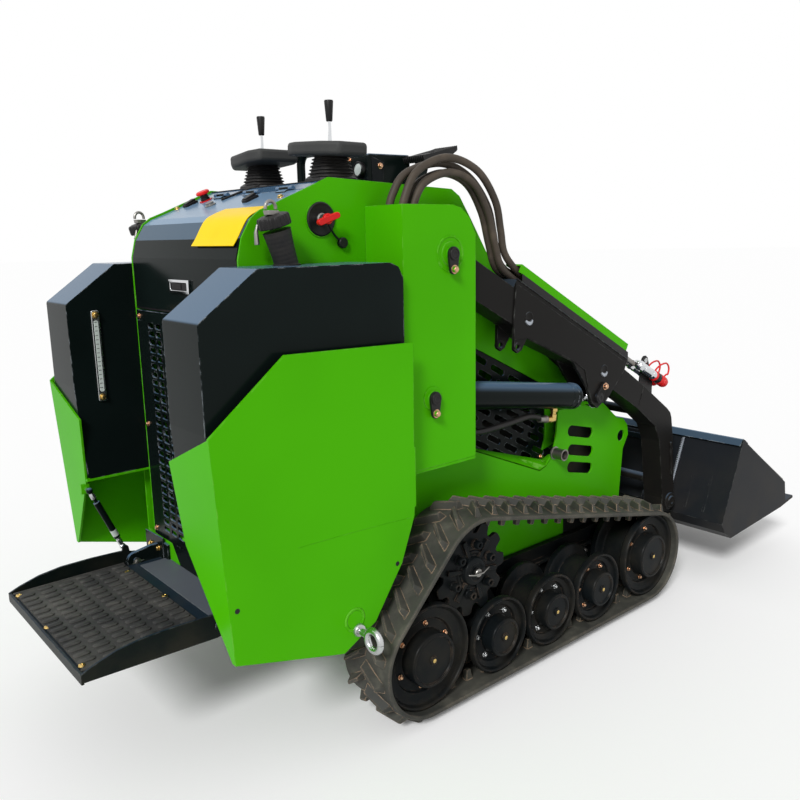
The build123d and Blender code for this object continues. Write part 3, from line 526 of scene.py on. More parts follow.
# ------------------------------------------------------------------ settings a user would change
class LoaderColours(bpy.types.PropertyGroup):
    """Main paint colours and the light."""
    green: FloatVectorProperty(name="Green", description="Colour of the green enamel", subtype="COLOR", size=3,
                               min=0, max=1, default=plain(72, 172, 6)[:3])
    black: FloatVectorProperty(name="Black", description="Colour of the black enamel", subtype="COLOR", size=3,
                               min=0, max=1, default=plain(11, 18, 17)[:3])
    sun: FloatProperty(name="Key light", description="Strength of the key light", default=2.5, min=0)
    sky: FloatProperty(name="Sky light", description="Strength of the soft light all round", default=0.5, min=0)


class LoaderSizes(bpy.types.PropertyGroup):
    """Sizes of the fine pieces."""
    lug_pitch: FloatProperty(name="Lug pitch", description="Distance between tread lugs", default=0.072,
                             unit="LENGTH", min=0.03)


class LOADER_OT_frame(bpy.types.Operator):
    """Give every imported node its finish"""
    bl_idname = "loader.frame"
    bl_label = "Finish the frame"

    def execute(self, context):
        make_finishes(context.scene.loader_colours)
        for name, finish in node_finish.items():
            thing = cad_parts[name]
            thing.data.materials.clear()
            thing.data.materials.append(finishes[finish])
        return {"FINISHED"}


class LOADER_OT_stage(bpy.types.Operator):
    """Make the pale floor, the soft light and the camera"""
    bl_idname = "loader.stage"
    bl_label = "Stage"

    def execute(self, context):
        colours = context.scene.loader_colours
        floor = bpy.data.meshes.new("floor")
        angle = np.arange(96) * TAU / 96
        rim = np.stack([60 * np.cos(angle), 60 * np.sin(angle), 0 * angle - 0.0005], 1)
        floor.from_pydata(rim.tolist(), [], [tuple(range(96))])
        f = Finish("floor", Base_Color=(0.93, 0.93, 0.93, 1), Roughness=0.9, Specular_IOR_Level=0.0)
        seen = f.node("ShaderNodeLightPath", {}, {}, "Is Camera Ray")
        f.set(Emission_Color=f.mix(seen, (0, 0, 0, 1), (0.08, 0.08, 0.08, 1)), Emission_Strength=1.0)
        floor.materials.append(f.material)
        ground = bpy.data.objects.new("floor", floor)
        context.scene.collection.objects.link(ground)
        world = bpy.data.worlds.new("studio")
        context.scene.world = world
        world.use_nodes = True
        tree = world.node_tree
        back = tree.nodes["Background"]
        path = tree.nodes.new("ShaderNodeLightPath")
        strength = path.outputs["Is Camera Ray"]
        for ray in ("Is Glossy Ray", "Is Transmission Ray"):
            top = tree.nodes.new("ShaderNodeMath")
            top.operation = "MAXIMUM"
            tree.links.new(strength, top.inputs[0])
            tree.links.new(path.outputs[ray], top.inputs[1])
            strength = top.outputs[0]
        span = tree.nodes.new("ShaderNodeMapRange")
        tree.links.new(strength, span.inputs["Value"])
        span.inputs["To Min"].default_value = colours.sky
        span.inputs["To Max"].default_value = 1.0
        tree.links.new(span.outputs[0], back.inputs["Strength"])
        back.inputs["Color"].default_value = (1, 1, 1, 1)
        lamp = bpy.data.lights.new("key", "SUN")
        lamp.energy, lamp.angle = colours.sun, math.radians(14)
        key = bpy.data.objects.new("key", lamp)
        key.rotation_euler = Vector((-0.72, -0.42, 0.62)).to_track_quat("Z", "Y").to_euler()
        context.scene.collection.objects.link(key)
        lens = bpy.data.cameras.new("camera")
        lens.lens, lens.sensor_width, lens.clip_end = 35.82, 36.0, 200
        camera = bpy.data.objects.new("camera", lens)
        right, down, ahead = (0.7604, -0.6495, -0.019), (-0.1448, -0.1408, -0.9795), (0.6332, 0.7471, -0.201)
        turn = Matrix((right, [-v for v in down], [-v for v in ahead])).transposed()
        camera.matrix_world = Matrix.Translation((-1.7865, -1.884, 1.2 + LUG)) @ turn.to_4x4()
        context.scene.collection.objects.link(camera)
        context.scene.camera = camera
        context.scene.view_settings.view_transform = "Standard"
        return {"FINISHED"}


# ------------------------------------------------------------------ sizes shared with the solids, mm
REAR_IDLER, FRONT_IDLER, SPROCKET = (-547, 153, 141), (440, 150, 138), (-370, 330, 144)
ROLLERS = ((165, 120, 108), (-57, 120, 108), (-281, 120, 108))
WHEEL_CAPS = [(REAR_IDLER, 72), (FRONT_IDLER, 72), *((roller, 54) for roller in ROLLERS)]
BELT_OUTER, BELT_WIDTH, CARCASS, BELT_LENGTH = 540, 180, 12, 3382
TRACK_MIDDLE = BELT_OUTER - BELT_WIDTH / 2
WHEEL_FOOT, DISH_FACE, CAP_FACE = 381, 492, 537      # widths at which a wheel starts, takes its bolts and ends
CHASSIS_HALF, BODY_HALF, BODY_REAR = 340, 296, -901.5
ARM_INNER, ARM_OUTER, TOWER_OUTER, DOUBLER = 346, 420, 437.5, 2.6
BOOM_PIVOT, LIFT_BASE, LIFT_EYE = (-387.5, 1156), (-453.5, 800), (264.5, 694)
BUCKET_PIVOT, TILT_BASE, TILT_EYE = (715.5, 249), (354, 720), (740, 395)
CYLINDER_MIDDLE = 383
TANK_INNER, TANK_TOP = 300, 1142
FENDER_OUTER, BUCKET_HALF = 484, 600
PLATFORM_PIVOT, PLATFORM_HALF, PLATFORM_TOP = (-982, 303), 271, 305


# ------------------------------------------------------------------ tracks and wheels
def belt_line(grow, count):
    """Evenly spaced places round the three wheels: point, outward direction and heading.

    The line is an arc round each wheel, of its radius plus grow, joined by the tangents that touch
    two wheels from outside; places divide its length evenly.
    """
    wheels = [np.array(w, float) + (0, 0, grow) for w in (FRONT_IDLER, SPROCKET, REAR_IDLER)]
    turns = []
    for a, b in zip(wheels, wheels[1:] + wheels[:1]):
        d = b[:2] - a[:2]
        turns.append(math.atan2(d[1], d[0]) - math.pi / 2 + math.asin((a[2] - b[2]) / np.hypot(*d)))
    turns = np.unwrap(turns)
    start = np.array([turns[-1] - TAU, *turns[:-1]])
    angle = np.concatenate([np.linspace(s, e, 60) for s, e in zip(start, turns)])
    centre = np.repeat(np.array(wheels), 60, 0)
    line = centre[:, :2] + centre[:, 2:] * np.stack([np.cos(angle), np.sin(angle)], 1)
    line, angle = np.vstack([line, line[:1]]), np.append(angle, angle[0] + TAU)
    way = np.concatenate([[0], np.cumsum(np.hypot(*np.diff(line, axis=0).T))])
    at = np.arange(count) * way[-1] / count
    x, z, a = (np.interp(at, way, values) for values in (line[:, 0], line[:, 1], angle))
    return np.stack([x, z], 1), np.stack([np.cos(a), np.sin(a)], 1), np.stack([-np.sin(a), np.cos(a)], 1)


def at_belt(places, shape, side):
    """A shape of (along, across from the outer edge, out) set at every place of the belt."""
    spot, out, ahead = places
    shape = np.array(shape, float)
    flat = spot[:, None] + shape[None, :, :1] * ahead[:, None] + shape[None, :, 2:] * out[:, None]
    y = np.broadcast_to(side * (BELT_OUTER - shape[:, 1]), flat.shape[:2])
    return np.stack([flat[..., 0], y, flat[..., 1]], -1).reshape(-1, 3)


def lugs(places, shape, side):
    """One closed eight-cornered shape set at every place of the belt."""
    quads = np.array([(0, 1, 2, 3), (7, 6, 5, 4), (0, 4, 5, 1), (1, 5, 6, 2), (2, 6, 7, 3), (3, 7, 4, 0)])
    faces = quads[None] + 8 * np.arange(len(places[0]))[:, None, None]
    return at_belt(places, shape, side), faces.reshape(-1, 4)


class LOADER_OT_tracks(bpy.types.Operator):
    """Rubber belts with two staggered rows of wedge lugs and the drive lugs inside"""
    bl_idname = "loader.tracks"
    bl_label = "Tracks"

    def execute(self, context):
        section = [(0, 3), (0, 9), (3, 12), (20, 12.5), (90, 14), (160, 12.5), (177, 12), (180, 9), (180, 3),
                   (177, 0), (122, 0), (118, -1.5), (62, -1.5), (58, 0), (3, 0)]
        outer = [(32, 18, -2), (7, 18, -2), (-35, 88, -2), (-8, 88, -2),
                 (23, 30, 22.1), (13, 30, 22.1), (-26, 82, 22.1), (-16, 82, 22.1)]
        inner = [(a, BELT_WIDTH - b, h) for a, b, h in outer]
        tooth = [(-12, 50, 2), (12, 50, 2), (12, 68, 2), (-12, 68, 2),
                 (-7, 52, -28), (7, 52, -28), (7, 66, -28), (-7, 66, -28)]
        count = 2 * round(BELT_LENGTH / (context.scene.loader_sizes.lug_pitch / MM))
        outside, within = belt_line(CARCASS, count), [p[::2] for p in belt_line(0, count)]
        for name, side in SIDES:
            belt = at_belt(belt_line(0, 260), [(0, *corner) for corner in section], side)
            rows = [(belt, grid_faces(260, len(section), close_u=True, close_v=True))]
            rows += [lugs([p[first::2] for p in outside], shape, side) for first, shape in enumerate((outer, inner))]
            rows += [lugs(within, [(a, b + shift, h) for a, b, h in tooth], side) for shift in (0, 62)]
            tread = piece(f"tread_{name}", rows, "tread", bevel=1.6, segments=1)
            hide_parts(f"track_{name}")
        return {"FINISHED"}


def wheel_shape(wheel, cap, side):
    """Roller turned from its section: two flanges, the hub between, a dish and a capped boss."""
    x, z, r = wheel
    r -= 0.3
    section = [(0, 0), (r - 4, 0), (r, 4), (r, 20), (r - 4, 24), (r - 24, 27), (r - 30, 33), (r - 30, 105),
               (r - 24, 111), (r - 4, 114), (r, 118), (r, 134), (r - 2, 137), (r - 6, 138), (r - 9, 136),
               (r - 11, 131), (r - 13, 123), (r - 17, 120), (cap + 28, 119), (cap + 26, 117), (cap + 24, 111),
               (cap + 3, 111), (cap, 113), (cap, 151), (cap - 2, 155), (cap - 5, 156.5), (cap - 9, 156),
               (cap - 11, 152), (12, 152), (11, 156), (0, 156)]
    return lathe(section, (x, side * WHEEL_FOOT, z), side, 64)


class LOADER_OT_wheels(bpy.types.Operator):
    """Idlers and rollers with dished faces, caps and their bolts"""
    bl_idname = "loader.wheels"
    bl_label = "Wheels"

    def execute(self, context):
        plug = [(0, 0), (5.5, 0), (5.5, 0.8), (3, 1.4), (2, 2.4), (0, 2.6)]
        for name, side in SIDES:
            turned = piece(f"wheels_{name}", [wheel_shape(w, cap, side) for w, cap in WHEEL_CAPS], "wheel", smooth=40)
            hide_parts(f"rollers_{name}")
            ring = []
            for (x, z, _), cap in WHEEL_CAPS:
                reach, turn = cap + 12, 24 if cap > 60 else 54
                ring.append([((x + reach * math.cos(a), side * DISH_FACE, z + reach * math.sin(a)), side)
                             for a in np.radians(turn + 60 * np.arange(6))])
            bolts(f"wheel_bolts_{name}", sum(ring[:3], []), "copper", radius=5.5, head=5)
            bolts(f"roller_bolts_{name}", sum(ring[3:], []), "steel", radius=5.5, head=5)
            piece(f"wheel_plugs_{name}", [lathe(plug, (w[0], side * CAP_FACE, w[1]), side, 16) for w, _ in WHEEL_CAPS],
                  "brass")
        return {"FINISHED"}


class LOADER_OT_sprockets(bpy.types.Operator):
    """Toothed drive plates, the motor's housing, its socket screws and centre nut"""
    bl_idname = "loader.sprockets"
    bl_label = "Sprockets"

    def execute(self, context):
        x, z, _ = SPROCKET
        angle = np.arange(330) * TAU / 330
        radius = 114 + 13.5 * np.tanh(2.1 * np.cos(11 * angle) + 0.5)
        rim = np.stack([x + radius * np.cos(angle), z + radius * np.sin(angle)], 1)
        housing = [(0, 0), (62, 0), (62, 96), (70, 100), (84, 102), (84, 110), (70, 114), (58, 146), (56, 152),
                   (52, 156), (48, 156), (46, 153), (40, 153), (38, 166), (34, 170), (24, 171), (22, 168), (0, 168)]
        socket = [(0, 0), (11, 0), (11, 20), (9.5, 22), (6, 22), (5.5, 12), (0, 12)]
        face, nut = TRACK_MIDDLE + 42, 510
        for name, side in SIDES:
            shapes = [plate(rim, side * (TRACK_MIDDLE + a), side * (TRACK_MIDDLE + b))
                      for a, b in ((-42, -30), (30, 42))]
            shapes.append(lathe(housing, (x, side * (CHASSIS_HALF + 0.3), z), side, 48))
            for i in range(6):
                a, reach = math.radians(20 + 60 * i), (66, 72)[i % 2]
                spot = (x + reach * math.cos(a), side * face, z + reach * math.sin(a))
                shapes += [lathe(socket, spot, side, 20), lathe(corners(0, 14.5, 0, 4), spot, side, 6)]
            for i in range(6):
                a = math.radians(50 + 60 * i)
                c, s = math.cos(a), math.sin(a)
                spoke = [(x + r * c - w * s, z + r * s + w * c) for r, w in ((34, 5), (34, -5), (92, -7), (92, 7))]
                shapes.append(plate(spoke, side * face, side * (face + 8)))
            made = piece(f"drive_{name}", shapes, "wheel", bevel=1.2, segments=1)
            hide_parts(f"sprocket_{name}")
            wire = [(x + a, side * (nut + b), z + c)
                    for a, b, c in ((-34, 6, 2), (-20, 15, 1), (10, 16, 0), (40, 8, 5))]
            centre = lathe([(0, 0), (11, 0), (12, 2), (12, 9), (10, 12), (0, 12)], (x, side * nut, z), side, 24)
            piece(f"drive_nut_{name}", [centre, tube(wire, 2.2, 8)], "worn", bevel=0.8)
        return {"FINISHED"}


class LOADER_OT_running_gear(bpy.types.Operator):
    """Bolts and ribs of the beams inside the tracks"""
    bl_idname = "loader.running_gear"
    bl_label = "Track beams"

    def execute(self, context):
        cheek = [(-420, 205), (-300, 239), (400, 239), (470, 215), (470, 150), (-420, 150)]
        for name, side in SIDES:
            face = side * 364
            places = [((x, face, z), side) for x in (-430, -170, 55, 300) for z in (185, 160)]
            bolts(f"beam_bolts_{name}", places, "worn", radius=8)
            web = [block(x - 5, x + 5, face, side * 382, 92, 196) for x in (-395, -230, -110, -5, 110, 225, 340)]
            web += [plate([(-560, 196), (470, 186), (470, 196), (-560, 206)], face, side * 384),
                    plate(cheek, side * 344.5, side * 364.3),
                    block(211, 430, side * CHASSIS_HALF, side * 343, 120, 300)]
            piece(f"beam_ribs_{name}", web, "wheel", bevel=1.0)
        return {"FINISHED"}


# ------------------------------------------------------------------ body
class LOADER_OT_rear_grille(bpy.types.Operator):
    """Rear plate with its field of rounded slots and its bolts"""
    bl_idname = "loader.rear_grille"
    bl_label = "Rear grille"

    def execute(self, context):
        half, x, depth = 290.7, BODY_REAR, 5
        columns, rows = (np.arange(10) - 4.5) * 45.0, 390 + np.arange(27) * 22.5
        cells = np.stack(np.meshgrid(columns, rows, indexing="ij"), -1).reshape(-1, 2)
        edge, low, high = 225, 378.75, 986.25            # the slotted field's sides, foot and head
        shapes = [slotted(cells, (45, 22.5), (35, 14.5), depth, (x, 0, 0), Y, Z, corner=5.5),
                  block(x, x + depth, -half, half, high, 1015),
                  block(x, x + depth, -half, half, 356.3, low),
                  across([(-106, 269), (106, 269), (133, 301), (177, 357), (-177, 357), (-133, 301)], x, x + depth)]
        shapes += [block(x, x + depth, s * edge, s * half, low, high) for s in BOTH]
        made = piece("rear_plate", shapes, "black")
        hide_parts("rear_grille")
        spots = [((x, s * 274, z), REARWARD) for s in BOTH for z in (378, 690, 998)]
        bolts("rear_plate_bolts", spots, "copper", head=4.5)
        core = [block(x + 40, x + 78, y, y + 7, 390, 970) for y in range(-245, 245, 16)]
        core += [block(x + 34, x + 84, -255, 255, z, z + 15) for z in (375, 970)]
        piece("radiator_fins", core, "engine", smooth=0)
        return {"FINISHED"}


class LOADER_OT_side_grilles(bpy.types.Operator):
    """Black plates with slanting slots in the body's side openings, the ledges under them, the drain, and dark sheets
    of painted shade behind the nose slots
    """
    bl_idname = "loader.side_grilles"
    bl_label = "Side grilles"

    def execute(self, context):
        c, s = math.cos(math.radians(-28)), math.sin(math.radians(-28))
        cell, hole, middle, face = (86, 32), (64, 17), (-60, 700), 290.5
        r, column = np.meshgrid(np.arange(-20, 21), np.arange(-14, 15), indexing="ij")
        cells = np.stack([(column + 0.5 * (r % 2)) * cell[0], r * cell[1]], -1).reshape(-1, 2)
        spots = cells @ np.array([[c, s], [-s, c]]) + middle
        sheet = [(-330, 1010), (150, 775), (235, 700), (235, 480), (120, 440), (-330, 600)]
        opening = [(-270, 915), (120, 745), (215, 690), (215, 505), (120, 480), (85, 490), (-203, 600), (-275, 640)]
        whole, pierced = inside(spots, sheet), inside(spots, opening)
        shapes = []
        for side in BOTH:
            place = (4 * side, (middle[0], side * face, middle[1]), (c, 0, s), (-s, 0, c))
            shapes += [slotted(cells[pierced], cell, hole, *place),
                       slotted(cells[whole & ~pierced], cell, (0.4, 0.4), *place, corner=0.1)]
        made = piece("side_plates", shapes, "black")
        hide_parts("side_grilles")
        spots = [((x, side * face, z), side) for side in BOTH for x, z in ((214, 557), (152, 499))]
        bolts("side_plate_bolts", spots, "copper")
        drain = (158, RIGHT * CHASSIS_HALF, 520)
        stub = [(0, 0), (21, 0), (21, 4), (17.5, 5), (17.5, 37), (18.5, 38), (18.5, 42), (14, 42), (14, 6), (0, 6)]
        piece("drain_stub", [lathe(stub, drain, RIGHT)], "worn")
        piece("drain_mouth", [lathe(corners(0, 14, 5, 30), drain, RIGHT, 24)], "plastic")
        ledges = [ledge(side * CHASSIS_HALF, [(-203, 597), (89, 477), (120, 487), (150, 515)],
                        side * 294, [(-149, 583), (-5, 538), (152, 490), (186, 501)]) for side in BOTH]
        piece("side_ledges", ledges, "green", smooth=20)
        # Dark sheets behind the nose slots: painted shade, standing in for the shadow inside the nose.
        piece("nose_shade_sheets", [block(196, 436, side * 309, side * 311, 400, 640) for side in BOTH], "engine")
        return {"FINISHED"}


class LOADER_OT_lid_details(bpy.types.Operator):
    """Latch, blank yellow plate and seam strip of the rear lid"""
    bl_idname = "loader.lid_details"
    bl_label = "Lid details"

    def execute(self, context):
        x = BODY_REAR
        bezel = slotted([(0, 1088)], (112, 34), (92, 19), 7, (x - 0.2, 0, 0), -Y, Z, corner=2)
        piece("latch_frame", [bezel], "chrome", "hood_lid", bevel=1.2)
        piece("latch_paddle", [block(x - 4, x + 1, -45, 45, 1079, 1097), block(x - 6, x - 3, -12, 34, 1080, 1096)],
              "plastic", "hood_lid", bevel=1.0)
        run = curve_points([(x, 1186), (-889, 1203.5), (-863.5, 1243.5), (-840, 1259), (-803, 1273)], 6)
        ahead = np.gradient(run, axis=0)
        out = np.stack([-ahead[:, 1], ahead[:, 0]], 1) / np.hypot(*ahead.T)[:, None]
        sheet = plate(np.vstack([run + out * 2.2, (run + out * 0.3)[::-1]]), -280, -76)
        piece("plate_yellow", [sheet], "yellow", "hood_lid", bevel=0.4)
        piece("lid_seam", [block(x - 1.2, x + 1, -284, 284, 1019.5, 1024)], "plastic", "hood_lid", bevel=0.4)
        return {"FINISHED"}


class LOADER_OT_console(bpy.types.Operator):
    """Stop button, rocker switches, key and bolts on the console"""
    bl_idname = "loader.console"
    bl_label = "Console controls"

    def execute(self, context):
        way = (-0.39, 0, 0.92)
        m = rotation(way)
        face = lambda x, y: (x, y, 1314 + (x + 700) * 0.408)
        button = face(-716, 195)
        piece("stop_button", [lathe(corners(0, 18, 0, 3), button, way, 40),
                              lathe([(0, 19), (16, 19), (19, 21), (19, 25), (16, 28), (0, 29)], button, way, 40)],
              "red", "hood_lid")
        stalk = [(0, 2), (13, 2), (13, 8), (11, 9), (11, 19), (0, 20)]
        piece("stop_stalk", [lathe(stalk, button, way, 28)], "plastic", "hood_lid")
        rockers = []
        for y, x in ((243, -739), (-93, -743)):
            base = np.array(face(x, y)) - m[:, 2] * 0.5
            rockers += [prism(rounded(24, 40, 3), (m[:, 0], m[:, 1]), base, 7),
                        prism(corners(-9, 9, -16, 16), (m[:, 0], m[:, 1] + m[:, 2] * 0.12), base, 12)]
        piece("rocker_switches", rockers, "plastic", "hood_lid", bevel=1.0)
        key = [(0, 0), (15, 0), (15, 3), (11, 5), (11, 9), (8, 10), (0, 10)]
        piece("key_switch", [lathe(key, face(-760, 86), way, 28)], "worn", "hood_lid")
        piece("lid_prop", [tube([(-730, 81, 1305), (-680, 66, 1325), (-630, 51, 1343)], 3, 10)], "plastic", "hood_lid")
        bolts("console_bolts", [(face(-743, -232), way), (face(-765, 276), way)], "brass", "hood_lid", head=4)
        top = lambda x: np.interp(x, (-694, -649, -350), (1316, 1335, 1322))     # two runs with a ridge between
        rim = [((x, side * 276, top(x)), (0.04, 0, 1)) for side in BOTH for x in (-396, -484, -567)]
        bolts("console_rim_bolts", rim, "brass", head=4)
        ridge = plate([(-653, 1334.5), (-645, 1335.2), (-645, 1337), (-653, 1336.6)], -284, 284)
        piece("console_ridge", [ridge], "plastic", bevel=0.4)
        return {"FINISHED"}


class LOADER_OT_pods(bpy.types.Operator):
    """Control pods: flange, bellows and palm rest, with the lever's stem and grip"""
    bl_idname = "loader.pods"
    bl_label = "Control pods"

    def execute(self, context):
        flanges, boots, rests, stems, grips = [], [], [], [], []
        cushion = [(-613, 66), (-487, 66), (-470, 112), (-478, 226), (-506, 264), (-590, 264), (-620, 216), (-628, 112)]
        grip = [(0, 0), (7, 0), (8.2, 2), (11.6, 48), (10.6, 51), (0, 51.2)]
        x, fall = -546, 0.066
        folds = zip(np.linspace(1352, 1404, 25), np.where(np.arange(25) % 4 < 2, 4, -4), np.linspace(0, 22, 25))
        folds = [(h, 96 - s + f, 90 - s + f) for h, f, s in folds]
        for side in BOTH:
            y = side * 165
            flanges.append(stack([(1327, x + 1, y, 118, 124, 26), (1331, x + 1, y, 124, 130, 30),
                                  (1348, x + 1, y, 120, 126, 30), (1352, x + 1, y, 108, 112, 26)], 2))
            boots.append(stack([(h, x, y, length, width, 16) for h, length, width in folds], 3))
            rests.append(prism([(a, side * b) for a, b in cushion[::side]], (X, (0, 1, -fall * side)),
                               (0, 0, 1410 + fall * 66), 33))
            stems.append(tube([(x, y, 1428), (x, y, 1452), (x + 1, y, 1470), (x, y, 1494)], [6, 4.5, 3.6, 3.6], 14))
            grips.append(lathe(grip, (x, y, 1488.5), UP, 24))
        made = piece("pod_rests", rests, "pad", bevel=9.0, segments=3)
        piece("pod_bellows", boots, "boot", smooth=60)
        piece("pod_flanges", flanges, "plastic", bevel=1.0)
        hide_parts("control_pods")
        stem = piece("lever_stems", stems, "chrome")
        piece("lever_grips", grips, "plastic")
        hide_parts("levers")
        return {"FINISHED"}


class LOADER_OT_front_box(bpy.types.Operator):
    """Box ahead of the console with its plates, bolts and gauge, and the finned work light"""
    bl_idname = "loader.front_box"
    bl_label = "Front box"

    def execute(self, context):
        rear, half = -345, 61
        outline = [(rear, 1322), (-185, 1316), (-185, 1428), (-190, 1433), (-339, 1431), (rear, 1426)]
        box = piece("front_case", [plate(outline, -half, half)], "black", bevel=3.0)
        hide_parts("front_box")
        cover = [(-330, 1334), (-286, 1334), (-286, 1408), (-330, 1424)]
        piece("case_plates", [plate(cover, s * half, s * 63) for s in BOTH], "bucket", bevel=1.0)
        spots = [((rear, y, z), REARWARD) for y, z in ((22, 1417), (-6, 1381))]
        spots += [((x, s * 63, z), s) for s in BOTH for x, z in ((-300, 1398), (-300, 1345))]
        bolts("case_bolts", spots, "copper", head=5)
        rim = [(0, -2), (21, -2), (22, 2), (22, 14), (20, 16), (18, 15), (17.5, 11), (0, 11)]
        piece("gauge_rim", [lathe(rim, (rear, -33, 1387), (-1, 0, 0.1), 40)], "plastic")
        piece("gauge_glass", [lathe([(0, 0), (17, 0), (17, 1), (0, 3)], (-356, -33, 1388), (-1, 0, 0.1))], "glass")
        shell = np.array([(-213, 1423), (-209, 1407), (-166, 1411), (-93, 1434), (-77, 1446), (-79, 1458),
                          (-101, 1451)], float)
        core = (shell - shell.mean(0)) * (0.97, 0.72) + shell.mean(0)
        lamp = [plate(core, -149, -half)] + [plate(shell, y, y + 2.6) for y in np.arange(-150, -60, 8.0)]
        piece("work_light", lamp, "plastic", bevel=0.6, segments=1)
        piece("light_foot", [plate([(-232, 1317.8), (-196, 1317.8), (-160, 1416), (-186, 1416)], -122, -88),
                             block(-236, -190, -140, -70, 1316, 1322)], "black", bevel=1.0)
        return {"FINISHED"}


# ------------------------------------------------------------------ boom
class LOADER_OT_towers(bpy.types.Operator):
    """Pin keepers and their bolts on the towers, with the welds inside their folds"""
    bl_idname = "loader.towers"
    bl_label = "Tower details"

    def execute(self, context):
        shapes, spots, welds = [], [], []
        ring = [(11, 0), (16, 0), (16, 3), (14.5, 4), (12, 4), (11, 3)]
        end = [(0, 0), (11.5, 0), (11.5, 2.5), (7, 3.5), (4, 1.5), (0, 1.5)]
        drop = 38                                        # from the pin down to the keeper's bolt
        for side in BOTH:
            face = side * (TOWER_OUTER + 7.5)
            for x, z in (BOOM_PIVOT, LIFT_BASE):
                shapes += keeper((x, z, 18), (x, z - drop, 12.8), face, side, 7.2, ring, end)
                spots.append(((x, face + side * 7.4, z - drop), side))
            seam = [(-534, side * (TOWER_OUTER - 9), z) for z in range(640, 1270, 9)]
            welds.append(tube(seam, 3.4 + 0.7 * np.sin(np.arange(len(seam)) * 2.2), 8))
        piece("tower_keepers", shapes, "plastic", bevel=1.2)
        bolts("tower_keeper_bolts", spots, "copper", radius=8.3, head=6.5)
        piece("tower_welds", welds, "green")
        x, z = BOOM_PIVOT
        piece("tower_rings", [lathe([(40, 0), (46, 0), (45, 1.2), (41, 1.2)], (x, side * TOWER_OUTER, z), side, 48,
                                    ring=True) for side in BOTH], "green")
        return {"FINISHED"}


class LOADER_OT_arms(bpy.types.Operator):
    """Doubler plates, plug welds, seams, pin keepers, lock eyes and pin caps of the lift arms"""
    bl_idname = "loader.arms"
    bl_label = "Arm details"

    def execute(self, context):
        doubler = [(-124, 1070), (402, 793), (398, 760), (300, 673), (298, 680), (264.5, 661), (236, 680), (216, 728),
                   (196, 790), (140, 823), (-72, 914), (-130, 914), (-133, 960)]
        dimple = [(0, -2.2), (17, -2.2), (17, 0.6), (15, 0.9), (14, 0.3), (0, 0.3)]
        ring = corners(13, 17, 0, 2.5)
        end = [(0, 0), (13, 0), (13, 3), (8, 4), (5, 1.5), (0, 1.5)]
        cap = [(0, 0), (31, 0), (31, 4), (28, 6), (21, 7), (19, 12), (8, 13), (5, 10), (0, 10)]
        foot = (290, 728)
        turn = np.linspace(math.radians(200), math.radians(335), 18)
        sheets, plugs, seams, pins, spots, caps, lock = [], [], [], [], [], [], []
        for side in BOTH:
            face, out = side * ARM_OUTER, side * (ARM_OUTER + DOUBLER)
            sheets.append(plate(doubler, face, out))
            for x, z in ((-69, 970), (293, 778)):
                path = np.stack([x + 15 * np.cos(turn), 0 * turn + out, z + 15 * np.sin(turn)], 1)
                plugs.append(tube(path, 6.0 * np.sin(np.linspace(0.35, 2.8, 18)) + 0.8, 8))
                sheets.append(lathe(dimple, (x, out, z), side))
            for radius, y, line in ((2.2, out, ((-124, 1070), (-133, 962), (-130, 914))),
                                    (2.4, face, ((402, 795), (399, 760), (302, 672))),
                                    (2.2, face, ((-120, 1081), (420, 797))), (1.6, face, ((499, 634), (522, 696)))):
                seams.append(bead([(x, y, z) for x, z in line], radius))
            pins += keeper((*LIFT_EYE, 17), (*foot, 12.4), out, side, 8.2, ring, end)
            spots.append(((foot[0], out + side * 8.4, foot[1]), side))
            lock += [lathe(corners(9, 14, -1, 11), (-112, side * y, 892), side, 24, ring=True)
                     for y in (ARM_INNER, ARM_OUTER - 10)]
            caps += [lathe(cap, (BUCKET_PIVOT[0], face, BUCKET_PIVOT[1]), side, 40),
                     plate([(700, 470), (708, 470), (722, 345), (714, 345)], face, side * (ARM_OUTER + 5))]
        piece("arm_doublers", sheets, "beam", "boom", bevel=0.6)
        piece("arm_plug_welds", plugs, "weld", "boom")
        piece("arm_seams", seams, "beam", "boom")
        piece("arm_keepers", pins, "plastic", "boom", bevel=1.2)
        bolts("arm_keeper_bolts", spots, "copper", "boom", radius=8.6, head=6)
        piece("arm_lock_eyes", lock, "beam", "boom")
        piece("bucket_pin_caps", caps, "beam", "boom", bevel=0.8)
        return {"FINISHED"}


